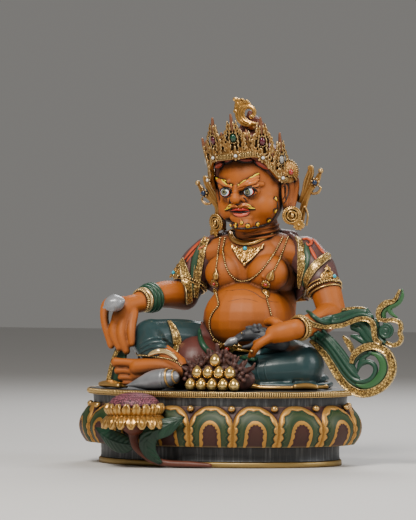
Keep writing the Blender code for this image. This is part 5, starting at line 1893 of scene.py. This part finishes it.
# Each station: the turn in degrees, then the inner and the outer edge's distance from the hole.
SCROLL_EDGES = (
    (-52, 10.6, 14.0), (-70, 8.0, 12.9), (-95, 6.0, 12.6), (-125, 4.8, 13.2), (-155, 4.2, 13.6),
    (-185, 3.9, 13.2), (-215, 3.6, 11.4), (-245, 3.4, 8.6), (-275, 3.3, 7.6), (-305, 3.3, 7.4),
    (-335, 3.4, 7.4), (-365, 3.5, 7.2), (-392, 3.4, 6.8), (-415, 3.0, 6.0)
)
for strand in range(4):
    line = []
    for turn, inner, outer in SCROLL_EDGES:
        wide = (outer - inner) / 4
        reach = inner + wide * (strand + 0.5)
        line.append((
            reach * cos(radians(turn)), (-0.9, -1.3, -1.1, -0.6)[strand], reach * sin(radians(turn)),
            wide * 0.5
        ))
    scroll.limb(*line, sides=10)
scroll.limb(*[
    ((a + b) / 2 * cos(radians(t)), 1.6, (a + b) / 2 * sin(radians(t)), (b - a) * 0.3)
    for t, a, b in SCROLL_EDGES
])
scroll.ball((3.0, -0.8, -3.4), (2.4, 2.2, 2.0))
SCROLL_CURLS = (
    (-11.4, 6.4, 2.9, -40, 330), (-6.0, 10.2, 2.6, 200, -320), (-13.6, 11.6, 2.2, -60, 330),
    (-10.4, 11.0, 1.6, 0, 300), (-13.4, 1.0, 1.8, -40, 300), (-1.4, 9.8, 1.7, 200, -300)
)
for x, z, radius, start, sweep in SCROLL_CURLS:
    curl(scroll, Matrix.Identity(4), x, z, radius, start, sweep, 1.0, 1.2)
scroll.limb((-11.6, 0.4, -3, 1.6), (-12.8, 0.4, 3, 1.8), (-11.2, 0.4, 8.6, 2.4), (-12.6, 0.4, 12.4, 1.5))
scroll.limb((-10.4, 0.4, 7, 2.2), (-5, 0.4, 9.4, 2.0), (0, 0.4, 8, 1.6))
scroll.limb((1, 0, -10.5, 2.6), (0, 6, -12, 3.4), (-4, 14, -13, 3.6))
keep("hair_scroll", scroll.melted(0.42, 1), gilding, "gilding", "hair_finial")

# The ear ribbons and earrings: gilt ribbons of copper strip knotted behind each ear, with a bead
# and a lapis at the fork, and a round chased earring that hangs on the ear lobe.
RIGHT_RIBBON_SHARE = 0.9
for label, side in (("left", 1), ("right", -1)):
    out = side if side > 0 else side * RIGHT_RIBBON_SHARE
    ribbon = Clay(HEAD)
    for strand in (-2.2, 0, 2.2):
        ribbon.limb(
            (side * (35.5 + strand * 0.3), 14, 4, 1.1),
            (side * (38.6 + strand * 0.6), 14, -13 - strand * 0.3, 1.2),
            (out * (45 + strand * 0.8), 13, -5, 1.25), (out * (49.6 + strand * 1.35), 13, 4, 1.3),
            (out * (53.4 + strand * 1.05), 13, 12, 1.2), (out * (55 + strand * 0.3), 12.6, 17, 0.9),
            sides=10
        )
        ribbon.limb(
            (side * (38 + strand * 0.7), 13, -30 - abs(strand) * 0.5, 1.1),
            (side * (41.4 + strand), 13, -20, 1.2), (out * (46 + strand * 0.8), 13, -10.6, 1.25),
            (out * (52.6 + strand * 0.8), 12.6, -2, 1.25), (out * (57.6 + strand * 1.0), 12.6, 3, 1.2),
            (out * (62 + strand * 0.5), 13, 10, 0.9), sides=10
        )
    ribbon.limb(
        (out * 53, 12.4, -7, 1.2), (out * 58, 12.4, -6.6, 1.3), (out * 61.4, 12.6, -2.6, 1.0),
        (out * 59, 12.6, -0.4, 0.7), sides=10
    )
    ribbon.limb(
        (out * 53.4, 13, 12, 1.3), (out * 52.6, 12.6, 16.4, 1.2), (out * 55.6, 12.6, 17.6, 1.0),
        (out * 56.6, 12.6, 15, 0.7), sides=10
    )
    ribbon.limb(
        (side * 37, 12, -33, 1.0), (side * 39.6, 11.8, -24, 1.0), (side * 43.6, 11.8, -18, 1.0),
        (side * 45.8, 11.8, -25, 1.0), (side * 43.4, 11.8, -34, 1.0), sides=8
    )
    ribbon.ball((out * 63.5, 13, 12.5), 2.4)
    flower_setting(ribbon, Matrix.Translation((out * 57.4, 11.2, 3)) @ turned(0, 0, side * 10), 3.2, 7)
    keep("ribbon_work_" + label, ribbon.melted(0.42, 1), crown_gold, "gilding", "ear_ribbon_" + label)
    set_stone(
        "ribbon_stone_" + label, HEAD @ Matrix.Translation((out * 57.4, 9.8, 3)), 2.2, stone_night, 1.1
    )
    hanger = Clay(HEAD)
    place = Matrix.Translation((side * 37, -3, -23)) @ turned(0, 0, side * 24) @ Matrix.Scale(1.08, 4)
    hanger.ball((0, 1, 0), (7.2, 1.5, 6.8), place=place)
    for step in range(26):
        around = 2 * pi * step / 26
        hanger.ball((7.4 * cos(around), -0.3, 7.0 * sin(around)), 0.86, place=place)
    for reach, thick in ((5.7, 0.6), (3.6, 0.75)):
        hanger.limb(
            *[(reach * cos(a), -1.0, reach * sin(a), thick) for a in np.linspace(0, 2 * pi, 19)],
            place=place, sides=8
        )
    hanger.ball((0.4, -1.4, 0.2), (1.5, 1.3, 2.2), place=place)
    place = Matrix.Translation((side * 41.4, -1, -32)) @ turned(0, 0, side * 24)
    flower_setting(hanger, place, 4.0, 9)
    hanger.ball((0, -0.9, 0), (1.3, 1.2, 1.3), place=place)
    hanger.limb((side * 39, -2, -27, 1.5), (side * 41.4, 0, -32, 2.0), (side * 44.6, 1, -33, 1.8))
    keep("earring_work_" + label, hanger.melted(0.4, 1), gilding, "gilding", "earring_" + label)

# The scarf: a flying band of sheet copper painted green, folded lengthwise and edged with a wide
# punched gilt border. It leaves the left elbow, throws up a flame, and curls in a loop to its end.
SCARF_DEPTH = 9
ARM_EDGE = 346
scarf_green = finish(
    "scarf green", (0.012, 0.06, 0.034), (0.001, 0.007, 0.004), (0.05, 0.16, 0.1), reach=2 * MM, depth=1.3,
    rub=0.3, rough=0.4, coat=0.15
)
scarf_pale = finish(
    "pale leaf green", (0.03, 0.115, 0.036), (0.002, 0.014, 0.006), (0.1, 0.27, 0.1), reach=2 * MM, rub=0.3,
    rough=0.4, coat=0.15
)


def hanging(pixels, depth, width):
    """Ribbon stations with both faces to front and back, from (px, py[, width]) at this depth."""
    points = smooth_path([(p[0], p[1], p[2] if len(p) > 2 else width) for p in pixels])
    return evened([(over_arm(p[0], p[1], depth), Vector((0, -1, 0)), p[2] / 2 * MM) for p in points], 2)


def over_arm(across, down, depth):
    """The point at a pixel of the scarf: at its depth, or just off the arm where the arm would cover it."""
    away = at_depth(across, down, depth)
    point = flesh.ray_cast(lens_place, pixel_ray(across, down))[0]
    if across > ARM_EDGE or point is None or (point - lens_place).length > (away - lens_place).length:
        return away
    return point - pixel_ray(across, down) * 1.6 * MM


SCARF_OUTLINE = [
    (-1, -1.4), (-1, 0.4), (-0.92, 0.9), (-0.8, 0.9), (-0.74, 0.55), (0, 0.75), (0.74, 0.55), (0.8, 0.9),
    (0.92, 0.9), (1, 0.4), (1, -1.4), (0.9, -2.2), (-0.9, -2.2)
]


def fold_tube(clay, pixels, depth, thick):
    """A round fold through (px, py) at this depth in mm, tapered at both ends."""
    points = smooth_path([(p[0], p[1], p[2] if len(p) > 2 else thick) for p in pixels])
    line = evened([(over_arm(p[0], p[1], depth), Vector((0, -1, 0)), p[2]) for p in points], 2)
    clay.limb(*[(*(point / MM), thickness) for point, _, thickness in line], sides=10)


scarf_body = Clay(MILLIMETRES)
# The folds of the lower band, from the border inwards, with how deep each lies and how thick it is.
LOOP_FOLDS = (
    (
        [
            (312, 337), (320.6, 343.4), (328, 351.6), (335, 362), (341.8, 372.4), (348.6, 380.4),
            (356, 385.4), (364, 387), (372, 385), (379, 379), (383.6, 371), (383.4, 362), (378, 355),
            (370, 352.6)
        ],
        0, 2.3
    ),
    (
        [
            (315, 334, 1.4), (324, 341), (331.6, 350), (338.4, 360), (345, 370), (351.6, 377.6),
            (358.6, 381.6), (365.6, 381.6), (372, 378), (375.8, 370.6), (373.6, 364.4), (367.6, 361.8),
            (361, 364.4), (358.4, 369, 1.4)
        ],
        -1.2, 2.3
    ),
    (
        [
            (318, 332, 1.2), (327, 339.4), (335, 348.6), (342, 358), (348, 366.6), (354, 373.8),
            (359, 377.6, 1.2)
        ],
        -1.6, 2.2
    ),
    (
        [(323, 330.4, 1.2), (333, 340.4), (341, 349.6), (347.6, 358.6), (353, 366.4), (357, 372.6, 1.0)],
        -0.6, 1.9
    ),
    ([(353.6, 366, 1.2), (356.4, 358.6), (361.4, 353.4), (368.6, 351, 1.4)], 0.6, 2.4),
    ([(358, 371, 1.0), (359.6, 363.4), (364.4, 357.4), (371, 354, 1.0)], -0.4, 1.8)
)
for run, deeper, thick in LOOP_FOLDS:
    fold_tube(scarf_body, run, SCARF_DEPTH + deeper, thick)
# The upper band and the part that hangs behind the spiral.
UPPER_FOLDS = (
    (
        [
            (307, 311, 1.1), (310.6, 313.6, 1.8), (315, 317.6, 2.2), (322, 321.6, 2.4), (330, 322.6),
            (341, 321.4), (352, 317), (362, 314.4), (371, 317)
        ],
        -1, 2.6
    ),
    ([(321, 319.6, 1.6), (329, 319), (339, 316.4), (349, 313), (359, 311), (366, 311.4)], 2, 3.2),
    ([(344, 311.4, 2.4), (354, 310.4), (363, 311), (369, 316), (372, 324), (376, 333), (382, 340)], 3, 3.4),
    ([(352, 320), (361, 322), (367, 328), (372, 336), (379, 343)], 3, 4.2),
    ([(354, 327), (361, 330), (366, 336), (371, 342), (377, 346)], 3, 3.6),
    ([(352, 336, 1.6), (358, 338), (364, 342), (370, 346), (376, 348)], 3, 2.8),
    ([(376, 322), (377, 330), (379, 338), (384, 343)], 2, 3.2)
)
for run, deeper, thick in UPPER_FOLDS:
    fold_tube(scarf_body, run, SCARF_DEPTH + deeper, thick)
keep("scarf_folds", scarf_body.melted(0.6, 1), scarf_green, "green_paint", "scarf")
LOOP_BORDER = [
    (310, 340.6, 3), (317.9, 347.4, 5), (324.3, 354.4, 6.2), (330.2, 363.3, 6.8), (336.7, 373.9, 7),
    (343.2, 382.7, 7.2), (351.5, 389.8, 7.2), (360.9, 393.6, 7.2), (371.5, 392.4, 7.2), (382.1, 386.9, 7.4),
    (389.2, 378.6, 7.6), (392.5, 368.6, 7.6), (390.4, 358, 7.2), (384.5, 350.3, 6.8), (375.6, 346.4, 6.6),
    (366.8, 346.8, 6.4), (359.1, 350.3, 6.2), (353.2, 356.2, 5.4), (351.3, 363.4, 3)
]
UPPER_BORDER = [
    (299, 316, 3.2), (304.6, 319, 4), (311.4, 323.4, 4), (319, 326, 3.8), (328, 327, 3.8), (342, 325.5, 4),
    (351, 322, 4), (359.7, 319, 4.2), (368.4, 319.6, 4.6), (373, 324.6, 4.8), (374, 332, 4.8),
    (375.4, 339.6, 4.6), (381, 343.6, 4)
]
SPIRAL_BORDER = [
    (378.6, 319.6, 3), (384.6, 320.4, 3.6), (392.7, 320, 4), (399, 322.2, 4), (401, 327.4, 3.8),
    (399.6, 333.2, 3.8), (401.4, 338.4, 4), (398.2, 343.8, 4), (391.6, 345.2, 3.8), (386, 342.4, 3)
]
FLAME_BORDER = [
    (380, 321.4, 3.4), (378, 314.3, 4.4), (380.6, 307.3, 5.2), (386.8, 302.6, 5.2), (393.6, 301, 3.8),
    (397.3, 295.5, 3), (399.8, 289.4, 1.8)
]
BACK_BORDER = [(343, 336.2, 2), (347.4, 341.4, 5), (350.8, 347.4, 5), (352.6, 352.4, 3)]
END_BORDER = [
    (341.6, 309.8, 2), (348, 308.6, 2.6), (356, 308.2, 2.8), (363.6, 308.8, 2.8), (366, 311.4, 2.4),
    (361.4, 313.6, 1.6)
]
for name, line, deeper, wide in (
    ("scarf_border", LOOP_BORDER, -2.4, 7), ("scarf_upper_border", UPPER_BORDER, -4.6, 4),
    ("scarf_spiral_border", SPIRAL_BORDER, -2.4, 4), ("scarf_flame_edge", FLAME_BORDER, -1.6, 4),
    ("scarf_back_border", BACK_BORDER, 3, 5), ("scarf_end_border", END_BORDER, 0.6, 3)
):
    keep(
        name, ribbon_mesh(hanging(line, SCARF_DEPTH + deeper, wide), SCARF_OUTLINE), punched_gold, "gilding"
    )
CRESCENT_LINE = [
    (356, 384.4, 2), (363, 386.4, 4.6), (370.6, 385, 6.6), (378, 379.4, 7.8), (382.6, 371.4, 8),
    (382.6, 362.6, 7.2), (378, 355.8, 5.4), (371.6, 353, 2)
]
crescent = ribbon_mesh(hanging(CRESCENT_LINE, SCARF_DEPTH - 2.4, 5), FOLD_OUTLINE)
keep("scarf_crescent", crescent, scarf_pale, "green_paint")
spiral = Clay(MILLIMETRES)
SPIRAL_CENTRE = (385.7, 331.2)
turns = []
for step in range(27):
    reach = 7.6 - step * 0.25
    around = radians(100 - step * 32)
    turns.append((
        SPIRAL_CENTRE[0] + reach * cos(around), SPIRAL_CENTRE[1] - reach * sin(around), 1.35 - step * 0.014
    ))
fold_tube(spiral, turns, SCARF_DEPTH - 2.2, 1.3)
SPIRAL_EYE = [(385.7, 330.8, 6.2), (385.7, 331.6, 6.2)]
fold_tube(spiral, SPIRAL_EYE, SCARF_DEPTH + 3, 6.2)
keep("scarf_spiral", spiral.melted(0.45, 1), scarf_green, "green_paint")
flame = Clay(MILLIMETRES)
FLAME_LINE = [
    (397, 317.6, 0.9), (392, 314, 1.8), (389.6, 310, 2.4), (391.6, 306.4, 2.6), (397, 303.8, 2.4),
    (400.8, 300, 2.0), (402.4, 295, 1.7), (402.4, 289.4, 0.8)
]
FLAME_ROOT = [(384, 319, 2.2), (383.6, 313, 2.4), (387, 308, 2.4), (392, 304.6, 2)]
fold_tube(flame, FLAME_LINE, SCARF_DEPTH + 0.6, 2)
fold_tube(flame, FLAME_ROOT, SCARF_DEPTH + 1.4, 2)
keep("scarf_flame", flame.melted(0.5, 1), scarf_pale, "green_paint")

# The mongoose: a small cast animal in dark grey that lies along the left forearm with its head at
# the hand. It bites a silvered jewel, and its eyes are two gilt beads.
animal = Clay(SEAT)
animal.limb(
    (64, -10, 42, 8), (54, -9.6, 44, 8.6), (46, -10.4, 46.6, 8.4), (40, -12, 48.4, 7.2),
    (34, -15, 47.6, 5.6), (28, -17.6, 45.6, 3.8), (24.6, -19.2, 44, 2.8)
)
for side in (-1, 1):
    animal.ball((42, -12 + side * 4.6, 54.6), (2.6, 1.7, 3.4), 0, -14)
    animal.ball((32.4, -15.8 + side * 4.2, 49), (1.5, 1.5, 1.5))
    animal.limb((31, -16.6 + side * 4.0, 44.6, 1.1), (26, -18.8 + side * 2.6, 42.6, 0.9))
    animal.limb(
        (46, -12 + side * 7.4, 44, 2.2), (40, -14 + side * 7.6, 39, 1.8), (34, -16 + side * 7, 37.4, 1.4)
    )
for tuft in range(26):
    along, around = (tuft // 2) / 12, -60 + (tuft * 83) % 120
    x, z = 60 - 26 * along, 43.4 + 5.2 * along
    radius = 8.0 - 1.6 * along
    y = -10 - 4 * along
    dy, dz = sin(radians(around)), cos(radians(around))
    animal.limb(
        (x, y + dy * radius, z + dz * radius, 1.2),
        (x + 4.6, y + dy * (radius + 0.7), z + dz * (radius + 0.7), 0.6), sides=8
    )
dark_fur = finish(
    "dark grey paint", (0.035, 0.04, 0.048), (0.006, 0.006, 0.008), (0.2, 0.2, 0.22), reach=2 * MM, rub=0.5,
    rough=0.5
)
keep("mongoose_body", animal.melted(0.5, 2), dark_fur, "dark_grey_paint", "mongoose")
silver_look = finish(
    "silvering", (0.28, 0.29, 0.31), (0.03, 0.03, 0.035), (0.85, 0.86, 0.9), reach=3 * MM, depth=1.6,
    rub=0.5, drift=0.9, rough=0.34, metal=0.4, coat=0.1
)
jewel = Clay(SEAT)
jewel.limb((24.6, -20.4, 43, 3.4), (20.6, -21.6, 41.6, 3.6), (17, -22.4, 39.6, 2.0))
keep("bitten_jewel", jewel.melted(0.5, 2), silver_look, "silver_paint")
keep(
    "mongoose_eyes",
    bead_mesh([SEAT @ Vector((31.2, -15.8 + side * 5.2, 49.6)) for side in (-1, 1)], 0.8 * MM), gilding,
    "gilding"
)

# The fruit in the right hand: a smooth silvered citron with a blunt tip and a short stalk.
citron = Clay(SEAT @ Matrix.Translation((-79, -49, 75)) @ turned(0, -10))
citron.ball((0, 0, 0), (9.4, 8.4, 7.4))
citron.limb((-5, 0, -0.6, 4.6), (-9, 0, -1.4, 2.2), (-11, 0, -1.8, 1.0))
citron.limb((7, 0, 0.6, 3.4), (9.2, 0, 0.8, 1.6))
for groove in range(5):
    around = radians(groove * 72 + 20)
    citron.limb(
        (-6, 5.0 * cos(around), 4.2 * sin(around), 1.6), (0, 6.6 * cos(around), 5.7 * sin(around), 2.4),
        (6, 4.6 * cos(around), 3.9 * sin(around), 1.4)
    )
keep("citron", citron.melted(0.5, 4), silver_look, "silver_paint", "fruit")

# The conch: a spun and chased copper shell, silvered, that lies on the base under the right foot
# with its long point to the side. Two gilt rings close the crown, which is cut with a spiral.
CONCH_LENGTH, CONCH_RADIUS = 54, 9.2
CONCH_OUTLINE = [
    (0, 0), (0.03, 0.06), (0.1, 0.2), (0.25, 0.52), (0.42, 0.86), (0.52, 0.97), (0.6, 1.0), (0.7, 0.98),
    (0.78, 0.92), (0.83, 0.82), (0.86, 0.74), (0.9, 0.68), (0.93, 0.58), (0.96, 0.42), (0.985, 0.22), (1, 0)
]
shell_frame = SEAT @ Matrix.Translation((-62, -61, 3.5)) @ Matrix.Rotation(radians(-3), 4, "Z")
shell_frame = shell_frame @ Matrix.Rotation(radians(-100), 4, "Y")
rings = []
for step in range(91):
    run = step / 90
    for (a, ra), (b, rb) in zip(CONCH_OUTLINE, CONCH_OUTLINE[1:]):
        if a <= run <= b:
            radius = ra + (rb - ra) * (run - a) / (b - a)
    ring = []
    for turn in range(64):
        around = 2 * pi * turn / 64
        whorl = (run - 0.72) * 13 - turn / 64
        groove = max(0, 1 - abs((whorl % 1) - 0.5) * 7) if run > 0.72 else 0
        lip = exp(-((turn / 64 - 0.62 + 0.25 * run) / 0.02) ** 2) if 0.12 < run < 0.8 else 0
        reach = CONCH_RADIUS * max(radius, 0.004) * (1 - 0.1 * groove - 0.07 * lip)
        spot = Vector((reach * cos(around), reach * sin(around), -CONCH_LENGTH * run))
        ring.append(shell_frame @ spot)
    rings.append(ring)
keep("conch_shell", hoop(rings), silver_look, "silver_paint", "conch")
bands = Clay(shell_frame)
for run, radius, thick in ((0.815, 0.86, 1.0), (0.925, 0.62, 0.85)):
    reach = radius * CONCH_RADIUS
    turns = np.linspace(0, 2 * pi, 33)
    bands.limb(*[(reach * cos(a), reach * sin(a), -CONCH_LENGTH * run, thick) for a in turns], sides=10)
keep("conch_rings", bands.melted(0.4, 1), gilding, "gilding")

# The heap of jewels: ten polished drop-shaped jewels, gilt and burnished, in three rows, with
# dark brown coral branches that stand up behind them and to both sides.
JEWEL_RADIUS = 4.9
satin_gold = finish(
    "burnished gilding", (0.86, 0.56, 0.15), (0.2, 0.08, 0.015), (1, 0.9, 0.6), reach=2 * MM, rub=0.4,
    rough=0.2, metal=0.85, drift=0.1, bump=0.03
)
coral_brown = finish(
    "coral brown", (0.06, 0.022, 0.018), (0.008, 0.003, 0.003), (0.22, 0.1, 0.075), reach=1.6 * MM,
    depth=1.3, rub=0.6, rough=0.5
)
heap_place = SEAT @ Matrix.Translation((22, -62, 0)) @ Matrix.Scale(JEWEL_RADIUS, 4)
drops = []
for row, (count, height) in enumerate(((5, 1.02), (4, 3.16), (1, 5.3))):
    for index in range(count):
        drops.append(Vector(((index - (count - 1) / 2) * 2.12, row * 0.6, height)))
rows_of_drop = [
    (-1.0, 0.04), (-0.94, 0.35), (-0.78, 0.64), (-0.5, 0.88), (-0.15, 1.0), (0.2, 0.98), (0.55, 0.86),
    (0.85, 0.66), (1.1, 0.42), (1.27, 0.2), (1.33, 0.05)
]
made = bmesh.new()
for centre in drops:
    previous = None
    for height, radius in rows_of_drop:
        ring = []
        for a in np.linspace(0, 2 * pi, 24, endpoint=False):
            spot = centre + Vector((radius * cos(a), radius * sin(a), height))
            ring.append(made.verts.new(heap_place @ spot))
        if previous:
            for index in range(24):
                made.faces.new((
                    previous[index], previous[(index + 1) % 24], ring[(index + 1) % 24], ring[index]
                ))
        else:
            made.faces.new(ring[::-1])
        previous = ring
    made.faces.new(previous)
drops_mesh = bpy.data.meshes.new("jewel_drops")
made.to_mesh(drops_mesh)
made.free()
keep("jewel_drops", drops_mesh, satin_gold, "gilding", "jewel_heap")
coral = Clay(heap_place)
coral.ball((0, 3.2, 2.2), (6.9, 2.0, 2.9))
coral.ball((0.2, 3.2, 5.0), (3.2, 1.4, 2.2))
for branch in range(9):
    spread = -1 + branch / 4
    rise = 4.1 + 4.1 * (1 - abs(spread))
    coral.limb(
        (spread * 4.4, 2.9, 2.6, 0.62), (spread * 5.9, 2.5, 3.2 + (rise - 2.9) * 0.5, 0.5),
        (spread * 7.0, 2.0, rise, 0.34), sides=10
    )
    for twig in (-1, 1):
        coral.limb(
            (spread * 5.7, 2.2, 2.9 + (rise - 2.9) * 0.5, 0.4),
            (spread * 6.1 + twig * 0.9, 1.8, 3.6 + (rise - 2.9) * 0.55, 0.3),
            (spread * 6.3 + twig * 1.2, 1.7, 4.3 + (rise - 2.9) * 0.55, 0.2), sides=8
        )
for knob in range(60):
    around = knob * 2.39996
    share = (knob + 0.5) / 60
    reach = sqrt(share)
    crest = 1.6 if abs(cos(around)) < 0.4 else 0
    coral.ball((6.3 * reach * cos(around), 1.6, 2.6 + 2.6 * reach * sin(around) + crest), 0.42)
keep("coral_branches", coral.melted(0.5, 2), coral_brown, "dark_grey_paint")
